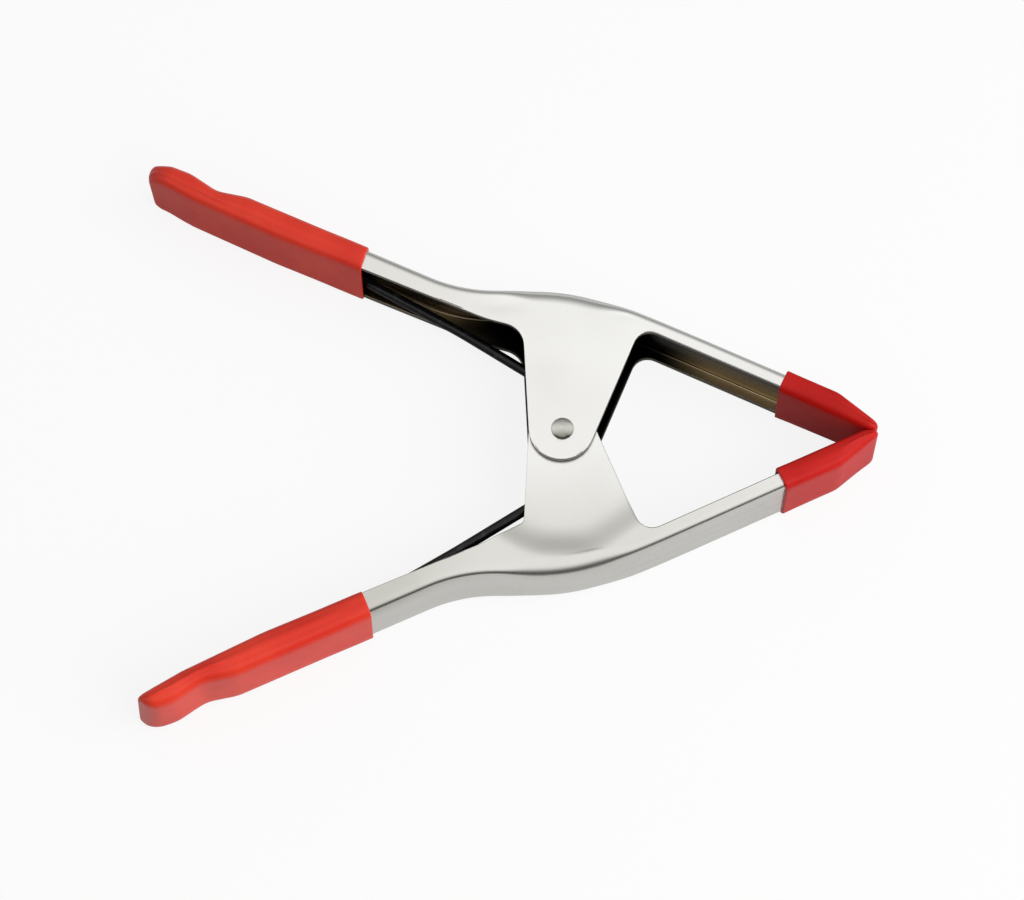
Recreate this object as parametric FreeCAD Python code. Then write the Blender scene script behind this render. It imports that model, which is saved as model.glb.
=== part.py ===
"""A pressed-steel spring clamp with vinyl-dipped handles and jaw tips, lying on its side.

Two bent-sheet channel arms cross at one rivet. The outer arm's ears lie flush with its flanges; the
inner arm's ears are stepped inwards by one sheet, so that they turn inside the outer ones. A torsion
spring round the rivet pushes the handles apart, which holds the jaws shut.

+X runs towards the jaws, +Y from the inner arm towards the outer arm, and +Z along the rivet. Every
outline is drawn for the outer arm, round the rivet's axis at (0, 0), and the inner arm is its mirror
image. Outlines run clockwise, so their outside is on the left of each line.
"""

import FreeCAD
import Part

import math
import os

from FreeCAD import Vector

# The channel, in millimetres
CHANNEL_WIDTH = 19.3     # over the outsides of both flanges
SHEET = 1.5              # steel thickness
BEND_RADIUS = 2.2        # outside of the bend between web and flange
EDGE_ROLL = 0.5          # rounding that the blanking die leaves on the outer face of a cut edge

# The web's outer line, from the handle's end to the jaw's nose: corners (x, y), each with its radius
CURL_END = (-118.0, 73.4)
FLARE_CREST = (-106.4, 77.15)
FLARE_CREST_RADIUS = 4.0
FLARE_ROOT = (-101.5, 75.13)
FLARE_ROOT_RADIUS = 12.0
THUMB_DIP = (-94.1, 69.8)
THUMB_DIP_RADIUS = 10.0
HANDLE_KNEE = (-85.7, 68.0)
HANDLE_KNEE_RADIUS = 12.0
SHOULDER = (-25.65, 40.3)
SHOULDER_RADIUS = 42.0
CROWN = (1.8, 42.14)
CROWN_RADIUS = 55.0
JAW_ROOT = (22.8, 33.55)
JAW_ROOT_RADIUS = 200.0
JAW_KNEE = (73.3, 9.71)
JAW_KNEE_RADIUS = 8.0
NOSE_TIP = (82.8, 1.6)

# The flanges' free edges
HANDLE_END_X = -108.9      # cut end of the handle
HANDLE_TOE = (-106.7, 72.65)
HANDLE_TOE_RADIUS = 3.0
HANDLE_TOE_RISE = 0.25     # of the free edge, from the toe to the cut end
HANDLE_HEEL = (-101.5, 69.1)
HANDLE_HEEL_RADIUS = 8.0
HANDLE_PALM = (-78.0, 57.36)
HANDLE_PALM_RADIUS = 60.0
HANDLE_EDGE_END = (-20.55, 32.08)
HANDLE_EDGE_RADIUS = 40.0
JAW_EDGE_POINT = (27.0, 26.85)
JAW_PAD_BACK = (80.4, 1.6)

# The ears
EAR_RADIUS = 8.7                  # round end below the rivet
EAR_SHIFT = -0.25                 # the round end's centre lies this far behind the rivet
EAR_HANDLE_TAPER = 2.9            # degrees from upright
EAR_JAW_TAPER = 22.2
EAR_JAW_FILLET = 4.4
OUTER_EAR_CORNER = (-10.45, 29.25)
OUTER_EAR_FILLET = 6.5
INNER_EAR_CORNER = (-10.15, 25.8)
INNER_EAR_FILLET = 1.6
EAR_GAP = 0.1                     # between an outer ear and the inner ear under it
JOGGLE_RUN = 2.2                  # width of the slope that steps an inner ear inwards
JOGGLE_TOP = 36.3                 # height of the step's upper edge over the rivet
JOGGLE_HALF_WIDTH = 8.6
JOGGLE_HANDLE_SLOPE = 31.0        # degrees, how the step falls away to each side
JOGGLE_JAW_SLOPE = 38.0
JOGGLE_CORNER_RADIUS = 4.5

# The rivet
SHANK_RADIUS = 2.2
RUNNING_CLEARANCE = 0.05          # radial, in the inner ears
HEAD_RADIUS = 3.05
HEAD_HEIGHT = 1.4                 # the made head, on top
UPSET_HEIGHT = 0.8                # the flatter head that closing the rivet forms
HEAD_RIM = 0.3                    # upright rim under each dome

# The torsion spring
WIRE = 2.75
COIL_RADIUS = 7.3                 # to the middle of the wire
COIL_TURNS = 3                    # whole turns, besides the part turn between the legs
COIL_PITCH = 3.25
OUTER_LEG_BENDS = ((-5.0, 19.5, 25.0), (-27.4, 34.23, 120.0))
INNER_LEG_BENDS = ((-5.0, 18.15, 25.0), (-28.0, 33.1, 120.0))
OUTER_LEG_SEAT_X = -56.8          # where the leg reaches the web and turns along it
INNER_LEG_SEAT_X = -61.0
LEG_SEAT_RADIUS = 60.0
LEG_FOOT = 9.5                    # length of leg that lies along the web
LEG_SEAT_GAP = 0.1

# The vinyl sleeves
VINYL = 0.95                      # wall of the handle sleeves, and of the tips on the flanges
SLEEVE_BACK_EDGE = 3.1            # rounding of a handle sleeve's edges along the web
SLEEVE_GRIP_EDGE = 2.9            # and along the channel's open side
SLEEVE_END_RADIUS = 3.4           # the closed end's corners, seen from the side
SLEEVE_TOE_RADIUS = 3.3
OUTER_HANDLE_MOUTH_X = -54.5      # where each mouth crosses the flange's free edge
OUTER_HANDLE_MOUTH_LEAN = 16.0    # degrees from upright; the sleeves are dipped by hand
OUTER_HANDLE_END_WALL = 3.9
INNER_HANDLE_MOUTH_X = -53.0
INNER_HANDLE_MOUTH_LEAN = 22.0
INNER_HANDLE_END_WALL = 1.65
TIP_BACK_WALL = 0.8               # wall of a jaw tip over the web
TIP_GRIP_WALL = 0.95              # and on the gripping side
TIP_BACK_EDGE = 2.4
TIP_GRIP_EDGE = 2.2
TIP_NOSE_X = 84.0
TIP_NOSE_RADIUS = 2.4             # from the slanted back to the upright nose
TIP_LIP_RADIUS = 1.4              # from the nose to the pad
TIP_PAD_RADIUS = 3.0              # from the pad to the gripping side
OUTER_TIP_MOUTH_X = 58.1
INNER_TIP_MOUTH_X = 57.0
TIP_MOUTH_LEAN = 26.0
TIP_GAP = 0.1                     # between the two closed tips

# How far helper shapes reach past the part
REACH = 2 * CHANNEL_WIDTH


def unit(angle):
    """The unit vector at an angle in degrees from +X."""
    return math.cos(math.radians(angle)), math.sin(math.radians(angle))


def heading(start, end):
    """The unit vector from one point to another."""
    length = math.hypot(end[0] - start[0], end[1] - start[1])
    return (end[0] - start[0]) / length, (end[1] - start[1]) / length


def moved(point, direction, distance):
    """A point moved some distance along a direction."""
    return point[0] + direction[0] * distance, point[1] + direction[1] * distance


def meet(line, other):
    """Where two lines cross; each is a point and a direction."""
    (px, py), (dx, dy) = line
    (qx, qy), (ex, ey) = other
    along = ((qx - px) * ey - (qy - py) * ex) / (dx * ey - dy * ex)
    return px + dx * along, py + dy * along


def beside(start, end, distance):
    """The line through two points, moved to its left by a distance."""
    dx, dy = heading(start, end)
    return (start[0] - dy * distance, start[1] + dx * distance), (dx, dy)


def offset_corners(corners, distance):
    """An open chain of (x, y, radius) corners moved to its left, with radii that keep the arcs concentric."""
    lines = [beside(a, b, distance) for a, b in zip(corners, corners[1:])]
    moved_chain = [lines[0][0] + (0.0,)]
    for corner, before, after in zip(corners[1:], lines, lines[1:]):
        turn = before[1][0] * after[1][1] - before[1][1] * after[1][0]
        radius = corner[2] + distance if turn < 0 else corner[2] - distance
        moved_chain.append(meet(before, after) + (radius,))
    last = corners[-1]
    direction = lines[-1][1]
    moved_chain.append((last[0] - direction[1] * distance, last[1] + direction[0] * distance, 0.0))
    return moved_chain


def rounded_edges(corners, height=0.0, closed=True):
    """Lines and tangent arcs along (x, y, radius) corners, in the plane z = height."""
    count = len(corners)
    ends = []
    for index, (x, y, radius) in enumerate(corners):
        if radius <= 0 or (not closed and index in (0, count - 1)):
            ends.append(((x, y), None, (x, y)))
            continue
        before = heading(corners[index - 1], (x, y))
        after = heading((x, y), corners[(index + 1) % count])
        half_turn = math.acos(before[0] * after[0] + before[1] * after[1]) / 2
        back = radius * math.tan(half_turn)
        start = moved((x, y), before, -back)
        end = moved((x, y), after, back)
        chord_middle = ((start[0] + end[0]) / 2, (start[1] + end[1]) / 2)
        inwards = heading((x, y), chord_middle)
        middle = moved((x, y), inwards, radius / math.cos(half_turn) - radius)
        ends.append((start, middle, end))
    edges = []
    for index, (start, middle, end) in enumerate(ends):
        if middle is not None:
            points = [Vector(p[0], p[1], height) for p in (start, middle, end)]
            edges.append(Part.Arc(*points).toShape())
        if closed or index < count - 1:
            following = ends[(index + 1) % count][0]
            edges.append(Part.makeLine(Vector(end[0], end[1], height), Vector(following[0], following[1], height)))
    return edges


def plate(corners, low, high):
    """A solid with a rounded outline, from z = low to z = high."""
    face = Part.Face(Part.Wire(rounded_edges(corners, low)))
    return face.extrude(Vector(0, 0, high - low))


def round_over(solid, chain, radius, low, high):
    """Rounds the edges of a plate's two faces that follow a chain of edges drawn at z = 0."""
    guide = Part.Wire(chain)
    chosen = []
    for edge in solid.Edges:
        if any(abs(vertex.Z - edge.Vertexes[0].Z) > 1e-6 for vertex in edge.Vertexes):
            continue
        middle = edge.valueAt((edge.FirstParameter + edge.LastParameter) / 2)
        if min(abs(middle.z - low), abs(middle.z - high)) > 1e-6:
            continue
        if guide.distToShape(Part.Vertex(Vector(middle.x, middle.y, 0)))[0] < 1e-4:
            chosen.append(edge)
    return solid.makeFillet(radius, chosen)


def web_line():
    """The web's outer line from past the handle's end to past the jaw's nose."""
    past_nose = moved(NOSE_TIP, heading(JAW_KNEE, NOSE_TIP), REACH)
    return [
        CURL_END + (0.0,),
        FLARE_CREST + (FLARE_CREST_RADIUS,),
        FLARE_ROOT + (FLARE_ROOT_RADIUS,),
        THUMB_DIP + (THUMB_DIP_RADIUS,),
        HANDLE_KNEE + (HANDLE_KNEE_RADIUS,),
        SHOULDER + (SHOULDER_RADIUS,),
        CROWN + (CROWN_RADIUS,),
        JAW_ROOT + (JAW_ROOT_RADIUS,),
        JAW_KNEE + (JAW_KNEE_RADIUS,),
        past_nose + (0.0,),
    ]


def ear_lines(radius):
    """The ear's jaw-side and handle-side edges as lines, both tangent to its round end."""
    centre = (EAR_SHIFT, 0.0)
    jaw_side = unit(90 - EAR_JAW_TAPER)
    handle_side = unit(90 + EAR_HANDLE_TAPER)
    return (
        (moved(centre, (jaw_side[1], -jaw_side[0]), radius), jaw_side),
        (moved(centre, (-handle_side[1], handle_side[0]), radius), handle_side),
    )


def free_line(ear_corner, ear_fillet):
    """The flanges' free edges and the ears, from the jaw's nose back to the handle's end."""
    jaw_side, handle_side = ear_lines(EAR_RADIUS)
    jaw_corner = meet(jaw_side, (JAW_EDGE_POINT, heading(JAW_EDGE_POINT, JAW_PAD_BACK)))
    apex = meet(jaw_side, handle_side)
    flare = (ear_corner, heading(ear_corner, HANDLE_EDGE_END))
    ear_top = meet(handle_side, flare)
    return [
        NOSE_TIP + (0.0,),
        JAW_PAD_BACK + (0.0,),
        jaw_corner + (EAR_JAW_FILLET,),
        apex + (EAR_RADIUS,),
        ear_top + (ear_fillet,),
        HANDLE_EDGE_END + (HANDLE_EDGE_RADIUS,),
        HANDLE_PALM + (HANDLE_PALM_RADIUS,),
        HANDLE_HEEL + (HANDLE_HEEL_RADIUS,),
        HANDLE_TOE + (HANDLE_TOE_RADIUS,),
        (HANDLE_END_X, HANDLE_TOE[1] + HANDLE_TOE_RISE, 0.0),
    ]


def solid_channel():
    """A block whose top is the web, with its bends rounded, and which reaches far below the flanges."""
    web = web_line()
    floor = web[-1][1]
    block = plate(web + [(web[0][0], floor, 0.0)], 0.0, CHANNEL_WIDTH)
    return round_over(block, rounded_edges(web, closed=False), BEND_RADIUS, 0.0, CHANNEL_WIDTH)


def channel_cavity():
    """The space inside the channel, one sheet within the block on the web and on both flanges."""
    inside = offset_corners(web_line(), -SHEET)
    start = moved(inside[0], heading(inside[1], inside[0]), REACH)
    inside[0] = start + (0.0,)
    floor = inside[-1][1] - REACH
    inside[-1] = moved(inside[-1], heading(inside[-2], inside[-1]), REACH) + (0.0,)
    cavity = plate(inside + [(start[0], floor - REACH, 0.0)], SHEET, CHANNEL_WIDTH - SHEET)
    guide = rounded_edges(inside, closed=False)
    return round_over(cavity, guide, BEND_RADIUS - SHEET, SHEET, CHANNEL_WIDTH - SHEET)


def blank(ear_corner, ear_fillet):
    """A plate with the flanges' cut edges, left whole above the web, its cut edges rolled on both faces."""
    edge = free_line(ear_corner, ear_fillet)
    top = FLARE_CREST[1] + REACH
    outline = edge + [(edge[-1][0], top, 0.0), (NOSE_TIP[0], top, 0.0)]
    whole = plate(outline, 0.0, CHANNEL_WIDTH)
    return round_over(whole, rounded_edges(edge[1:], closed=False), EDGE_ROLL, 0.0, CHANNEL_WIDTH)


def joggle_outline(shrink):
    """The outline of the stepped-in area round an inner ear, drawn in by some distance."""
    handle_fall = unit(180 + JOGGLE_HANDLE_SLOPE)
    jaw_fall = unit(-JOGGLE_JAW_SLOPE)
    handle_corner = (-JOGGLE_HALF_WIDTH, JOGGLE_TOP)
    jaw_corner = (JOGGLE_HALF_WIDTH, JOGGLE_TOP)
    handle_end = moved(handle_corner, handle_fall, REACH)
    jaw_end = moved(jaw_corner, jaw_fall, REACH)
    chain = [
        handle_end + (0.0,),
        handle_corner + (JOGGLE_CORNER_RADIUS,),
        jaw_corner + (JOGGLE_CORNER_RADIUS,),
        jaw_end + (0.0,),
    ]
    drawn_in = offset_corners(chain, -shrink)
    floor = -REACH
    return drawn_in + [(drawn_in[-1][0], floor, 0.0), (drawn_in[0][0], floor, 0.0)]


def joggle_recess(surface, inwards, growth):
    """The space above a stepped-in ear: it starts at z = surface and slopes down by one sheet and the gap.

    inwards is -1 at the upper flange and +1 at the lower one. growth widens the space, for the inner
    face of the sheet, whose bends lie further out.
    """
    depth = SHEET + EAR_GAP
    slope = JOGGLE_RUN / depth
    sections = []
    for level in (-SHEET / 2, depth):
        corners = joggle_outline(level * slope - growth)
        sections.append(Part.Wire(rounded_edges(corners, surface + inwards * level)))
    return Part.makeLoft(sections, True, True)


def joggle_recesses(surface_depth, growth):
    """The two recesses, for the sheet's face that lies surface_depth inside the flanges' outer faces."""
    lower = joggle_recess(surface_depth, 1, growth)
    upper = joggle_recess(CHANNEL_WIDTH - surface_depth, -1, growth)
    return [lower, upper]


def pivot_hole(radius):
    """A hole for the rivet through both flanges."""
    return Part.makeCylinder(radius, CHANNEL_WIDTH + 2 * REACH, Vector(0, 0, -REACH))


def arm_envelope(ear_corner, ear_fillet):
    """The arm as if its channel were solid, before its ears are stepped in."""
    return solid_channel().common(blank(ear_corner, ear_fillet))


def make_outer_arm():
    """The arm whose ears lie flush with its flanges, outside the other arm's."""
    envelope = arm_envelope(OUTER_EAR_CORNER, OUTER_EAR_FILLET)
    return envelope.cut(channel_cavity()).cut(pivot_hole(SHANK_RADIUS))


def make_inner_arm():
    """The arm whose ears are stepped inwards, drawn on the outer arm's side of the rivet."""
    envelope = arm_envelope(INNER_EAR_CORNER, INNER_EAR_FILLET)
    half_slope = math.atan2(SHEET + EAR_GAP, JOGGLE_RUN) / 2
    cavity = channel_cavity().cut(joggle_recesses(SHEET, SHEET * math.tan(half_slope)))
    stepped = envelope.cut(cavity).cut(joggle_recesses(0.0, 0.0))
    return stepped.cut(pivot_hole(SHANK_RADIUS + RUNNING_CLEARANCE))


def half_rivet(head_height):
    """A domed head on half of the shank, above the middle of the channel."""
    middle = CHANNEL_WIDTH / 2
    rim = CHANNEL_WIDTH + HEAD_RIM
    dome = head_height - HEAD_RIM
    ball = (HEAD_RADIUS ** 2 + dome ** 2) / (2 * dome)
    half_angle = math.asin(HEAD_RADIUS / ball) / 2

    def at(radius, height):
        return Vector(radius, 0, height)

    top = at(0, rim + dome)
    dome_middle = at(ball * math.sin(half_angle), top.z - ball * (1 - math.cos(half_angle)))
    edges = [
        Part.makeLine(at(0, middle), at(SHANK_RADIUS, middle)),
        Part.makeLine(at(SHANK_RADIUS, middle), at(SHANK_RADIUS, CHANNEL_WIDTH)),
        Part.makeLine(at(SHANK_RADIUS, CHANNEL_WIDTH), at(HEAD_RADIUS, CHANNEL_WIDTH)),
        Part.makeLine(at(HEAD_RADIUS, CHANNEL_WIDTH), at(HEAD_RADIUS, rim)),
        Part.Arc(at(HEAD_RADIUS, rim), dome_middle, top).toShape(),
        Part.makeLine(top, at(0, middle)),
    ]
    return Part.Face(Part.Wire(edges)).revolve(Vector(0, 0, 0), Vector(0, 0, 1), 360)


def make_rivet():
    """A shank with a domed head on top and a flatter one below."""
    upset = half_rivet(UPSET_HEIGHT).mirror(Vector(0, 0, CHANNEL_WIDTH / 2), Vector(0, 0, 1))
    return half_rivet(HEAD_HEIGHT).fuse(upset).removeSplitter()


def biarc(start, start_heading, end, end_heading):
    """Two tangent arcs in space from one point and heading to another."""
    across = end.sub(start)
    both = start_heading.add(end_heading)
    along = across.dot(both)
    spread = both.dot(both) - 4
    if abs(spread) < 1e-9:
        tangent = across.dot(across) / (2 * along)
    else:
        tangent = (along - math.sqrt(along ** 2 - spread * across.dot(across))) / spread
    first_corner = start.add(start_heading * tangent)
    second_corner = end.sub(end_heading * tangent)
    joint = (first_corner + second_corner) * 0.5
    arcs = []
    for begin, corner, finish in ((start, first_corner, joint), (joint, second_corner, end)):
        chord_middle = (begin + finish) * 0.5
        rise = corner.sub(chord_middle)
        cosine = begin.distanceToPoint(chord_middle) / begin.distanceToPoint(corner)
        radius = begin.distanceToPoint(chord_middle) / math.sqrt(1 - cosine ** 2)
        middle = chord_middle + rise * (radius * (1 - cosine) / rise.Length)
        arcs.append(Part.Arc(begin, middle, finish).toShape())
    return arcs


def leg_corners(bends, seat_x):
    """A spring leg's corners from the coil to its foot along the web, drawn on the outer arm's side."""
    seat = beside(HANDLE_KNEE, SHOULDER, -(SHEET + WIRE / 2 + LEG_SEAT_GAP))
    along_web = seat[1]
    touch = meet(seat, ((seat_x, 0.0), (0.0, 1.0)))
    foot = moved(touch, along_web, -LEG_FOOT)
    first = bends[0]
    reach = math.hypot(first[0], first[1])
    towards_axis = math.atan2(-first[1], -first[0])
    leaving = towards_axis + math.asin(COIL_RADIUS / reach)
    length = math.sqrt(reach ** 2 - COIL_RADIUS ** 2)
    tangent_point = (first[0] + length * math.cos(leaving), first[1] + length * math.sin(leaving))
    return [tangent_point + (0.0,)] + list(bends) + [touch + (LEG_SEAT_RADIUS,), foot + (0.0,)]


def coil_edges(start_angle, end_angle, top, bottom):
    """The coil's wire from the inner arm's leg down to the outer arm's leg.

    Each turn lies flat between the two legs' angles and falls by one pitch over the rest, so that three
    turns and a part fit between the ears.
    """
    flat = end_angle - start_angle
    falling = 2 * math.pi - flat
    steps = 4
    easing = 1.0 / (steps - 1)

    def station(angle, height, fall):
        place = Vector(COIL_RADIUS * math.cos(angle), COIL_RADIUS * math.sin(angle), height)
        direction = Vector(-math.sin(angle) * COIL_RADIUS, math.cos(angle) * COIL_RADIUS, -fall)
        return place, direction.normalize()

    pitch = (top - bottom) / COIL_TURNS
    slope = pitch / falling * (1 + easing)
    edges = []
    height = top
    angle = start_angle
    for turn in range(COIL_TURNS + 1):
        flat_start = station(angle, height, 0)
        flat_end = station(angle + flat, height, 0)
        edges += biarc(*flat_start, *flat_end)
        if turn == COIL_TURNS:
            break
        stations = [flat_end]
        for step in range(1, steps):
            share = step / steps
            fallen = (share - easing * (0.5 - share) * (steps / (steps - 2)) * 0.5) * pitch
            stations.append(station(angle + flat + falling * share, height - fallen, slope))
        angle += 2 * math.pi
        height -= pitch
        stations.append(station(angle, height, 0))
        for first, second in zip(stations, stations[1:]):
            edges += biarc(*first, *second)
    return edges


def spring_path():
    """The spring's wire from the foot of the inner arm's leg to the foot of the outer arm's leg."""
    fall = COIL_PITCH * COIL_TURNS
    top = (CHANNEL_WIDTH + fall) / 2
    bottom = top - fall
    inner_leg = [(x, -y, radius) for x, y, radius in leg_corners(INNER_LEG_BENDS, INNER_LEG_SEAT_X)]
    outer_leg = leg_corners(OUTER_LEG_BENDS, OUTER_LEG_SEAT_X)
    start_angle = math.atan2(inner_leg[0][1], inner_leg[0][0])
    end_angle = math.atan2(outer_leg[0][1], outer_leg[0][0])
    edges = rounded_edges(inner_leg[::-1], top, closed=False)
    edges += coil_edges(start_angle, end_angle, top, bottom)
    edges += rounded_edges(outer_leg, bottom, closed=False)
    return edges


def least_self_gap(edges):
    """The least distance between the wire's surface and itself, measured on points along its path."""
    spacing = WIRE / 8
    points = []
    for edge in edges:
        count = max(2, int(edge.Length / spacing))
        points += edge.discretize(count + 1)[:-1]
    apart = int(3 * WIRE / spacing)
    gaps = [
        points[first].distanceToPoint(points[second])
        for first in range(len(points))
        for second in range(first + apart, len(points))
    ]
    return min(gaps) - WIRE


def make_spring():
    """One unbroken tube along the legs and the coil."""
    edges = spring_path()
    print("spring least gap to itself %.3f mm" % least_self_gap(edges))
    path = Part.Wire(edges)
    start = edges[0].Vertexes[0].Point
    along = edges[0].Vertexes[1].Point.sub(start)
    section = Part.Wire(Part.makeCircle(WIRE / 2, start, along))
    return path.makePipeShell([section], True, False)


def beyond_mouth(free_edge, mouth_x, lean, towards):
    """Everything on a sleeve's side of its open end, a plane that leans by some degrees from upright.

    The plane crosses the flange's free edge, a line, at x = mouth_x. towards is +1 for a sleeve on the
    jaw's side of its mouth and -1 for one on the handle's side.
    """
    foot = meet(free_edge, ((mouth_x, 0.0), (0.0, 1.0)))
    across = unit(90 - lean)
    low_corner = moved(foot, across, -2 * REACH)
    high_corner = moved(foot, across, 2 * REACH)
    away = (2 * REACH * towards, 0.0)
    outline = [
        low_corner + (0.0,),
        high_corner + (0.0,),
        (high_corner[0] + away[0], high_corner[1], 0.0),
        (low_corner[0] + away[0], low_corner[1], 0.0),
    ]
    return plate(outline, -REACH, CHANNEL_WIDTH + REACH)


def sleeve_form(back, grip, back_edge, grip_edge):
    """A sleeve's outer form before its mouth is cut, one wall outside the flanges and closed at one end.

    back runs along the web and round the closed end, and grip along the channel's open side and round
    the same end. Both are open chains of corners that reach past the form, each with its own rounding.
    """
    low = -VINYL
    high = CHANNEL_WIDTH + VINYL
    heights = [corner[1] for corner in back + grip]
    under = min(heights) - REACH
    over = max(heights) + REACH
    behind = plate(back + [(back[-1][0], under, 0.0), (back[0][0], under, 0.0)], low, high)
    before = plate(grip + [(grip[-1][0], over, 0.0), (grip[0][0], over, 0.0)], low, high)
    behind = round_over(behind, rounded_edges(back, closed=False), back_edge, low, high)
    before = round_over(before, rounded_edges(grip, closed=False), grip_edge, low, high)
    return behind.common(before)


def handle_sleeve_form(end_wall):
    """The outer form of a handle sleeve, one wall outside the steel, and end_wall past its cut end."""
    end_x = HANDLE_END_X - end_wall
    end = ((end_x, 0.0), (0.0, 1.0))
    back = offset_corners([
        CURL_END + (0.0,),
        FLARE_CREST + (FLARE_CREST_RADIUS,),
        FLARE_ROOT + (FLARE_ROOT_RADIUS,),
        THUMB_DIP + (THUMB_DIP_RADIUS,),
        HANDLE_KNEE + (HANDLE_KNEE_RADIUS,),
        SHOULDER + (0.0,),
    ], VINYL)
    grip = offset_corners([
        HANDLE_EDGE_END + (0.0,),
        HANDLE_PALM + (HANDLE_PALM_RADIUS,),
        HANDLE_HEEL + (HANDLE_HEEL_RADIUS,),
        HANDLE_TOE + (HANDLE_TOE_RADIUS,),
        (HANDLE_END_X, HANDLE_TOE[1] + HANDLE_TOE_RISE, 0.0),
    ], VINYL)
    back_corner = meet(end, (back[0][:2], heading(back[0], back[1])))
    grip_corner = meet(end, (grip[-1][:2], heading(grip[-2], grip[-1])))
    under = (end_x, grip_corner[1] - REACH, 0.0)
    over = (end_x, back_corner[1] + REACH, 0.0)
    back[0:1] = [under, back_corner + (SLEEVE_END_RADIUS,)]
    grip[-1:] = [grip_corner + (SLEEVE_TOE_RADIUS,), over]
    return sleeve_form(back, grip, SLEEVE_BACK_EDGE, SLEEVE_GRIP_EDGE)


def tip_sleeve_form():
    """The outer form of a jaw tip, with a slanted back, an upright nose and a flat pad."""
    back_line = beside(JAW_ROOT, JAW_KNEE, TIP_BACK_WALL)
    slant = beside(JAW_KNEE, NOSE_TIP, TIP_BACK_WALL)
    grip_line = beside(JAW_PAD_BACK, JAW_EDGE_POINT, TIP_GRIP_WALL)
    nose = ((TIP_NOSE_X, 0.0), (0.0, 1.0))
    pad = ((0.0, TIP_GAP / 2), (1.0, 0.0))
    back = [
        back_line[0] + (0.0,),
        meet(back_line, slant) + (JAW_KNEE_RADIUS + TIP_BACK_WALL,),
        meet(slant, nose) + (TIP_NOSE_RADIUS,),
        (TIP_NOSE_X, -REACH, 0.0),
    ]
    grip = [
        (TIP_NOSE_X, REACH, 0.0),
        meet(nose, pad) + (TIP_LIP_RADIUS,),
        meet(grip_line, pad) + (TIP_PAD_RADIUS,),
        moved(grip_line[0], grip_line[1], 2 * REACH) + (0.0,),
    ]
    return sleeve_form(back, grip, TIP_BACK_EDGE, TIP_GRIP_EDGE)


def make_handle_sleeve(envelope, mouth_x, lean, end_wall):
    """A handle sleeve fitted over the steel, with its mouth at x = mouth_x."""
    free_edge = (HANDLE_PALM, heading(HANDLE_PALM, HANDLE_EDGE_END))
    kept = beyond_mouth(free_edge, mouth_x, lean, -1)
    return handle_sleeve_form(end_wall).common(kept).cut(envelope)


def make_jaw_tip(envelope, mouth_x):
    """A jaw tip fitted over the steel, with its mouth at x = mouth_x."""
    free_edge = (JAW_EDGE_POINT, heading(JAW_EDGE_POINT, JAW_PAD_BACK))
    kept = beyond_mouth(free_edge, mouth_x, TIP_MOUTH_LEAN, 1)
    return tip_sleeve_form().common(kept).cut(envelope)


def mirrored(shape):
    """The same piece on the inner arm's side."""
    return shape.mirror(Vector(0, 0, 0), Vector(0, 1, 0))


def make_pieces():
    """Every piece of the clamp by name, round the rivet's axis, with the flanges' lower face at z = 0."""
    envelope = arm_envelope(OUTER_EAR_CORNER, OUTER_EAR_FILLET)
    return {
        "outer_arm": make_outer_arm(),
        "inner_arm": mirrored(make_inner_arm()),
        "pivot_rivet": make_rivet(),
        "torsion_spring": make_spring(),
        "outer_handle_sleeve": make_handle_sleeve(
            envelope, OUTER_HANDLE_MOUTH_X, OUTER_HANDLE_MOUTH_LEAN, OUTER_HANDLE_END_WALL),
        "inner_handle_sleeve": mirrored(make_handle_sleeve(
            envelope, INNER_HANDLE_MOUTH_X, INNER_HANDLE_MOUTH_LEAN, INNER_HANDLE_END_WALL)),
        "outer_jaw_tip": make_jaw_tip(envelope, OUTER_TIP_MOUTH_X),
        "inner_jaw_tip": mirrored(make_jaw_tip(envelope, INNER_TIP_MOUTH_X)),
    }


def main():
    """Places the clamp over the middle of its footprint and writes one file per piece."""
    pieces = make_pieces()
    box = Part.makeCompound(list(pieces.values())).optimalBoundingBox()
    to_footprint = Vector(-(box.XMin + box.XMax) / 2, 0, VINYL)
    print("rivet axis at x = %.3f mm" % to_footprint.x)
    os.makedirs("parts", exist_ok=True)
    for name, shape in pieces.items():
        solid = shape.Solids[0] if len(shape.Solids) == 1 else shape
        placed = solid.copy()
        placed.translate(to_footprint)
        size = placed.optimalBoundingBox()
        print("%-20s solids %d valid %s volume %8.1f  x %.2f..%.2f  y %.2f..%.2f  z %.2f..%.2f" % (
            name, len(shape.Solids), placed.isValid(), placed.Volume,
            size.XMin, size.XMax, size.YMin, size.YMax, size.ZMin, size.ZMax))
        placed.exportStep(os.path.join("parts", name + ".step"))


main()
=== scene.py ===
"""A pressed-steel spring clamp with red vinyl handles and jaw tips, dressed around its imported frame.

Shapes are drawn in millimetres round the rivet's axis, on the outer arm's side: +x towards the jaws,
+y from the rivet towards the web, z from the lower flange's outer face. Bench.place mirrors the inner
arm's pieces and sets each finished mesh in the row frame, in metres.
"""

import logging
import math
from dataclasses import dataclass, field
from enum import Enum
from typing import NamedTuple, Sequence

import bmesh
import bpy
import numpy as np
from mathutils import Matrix, Vector


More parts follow.
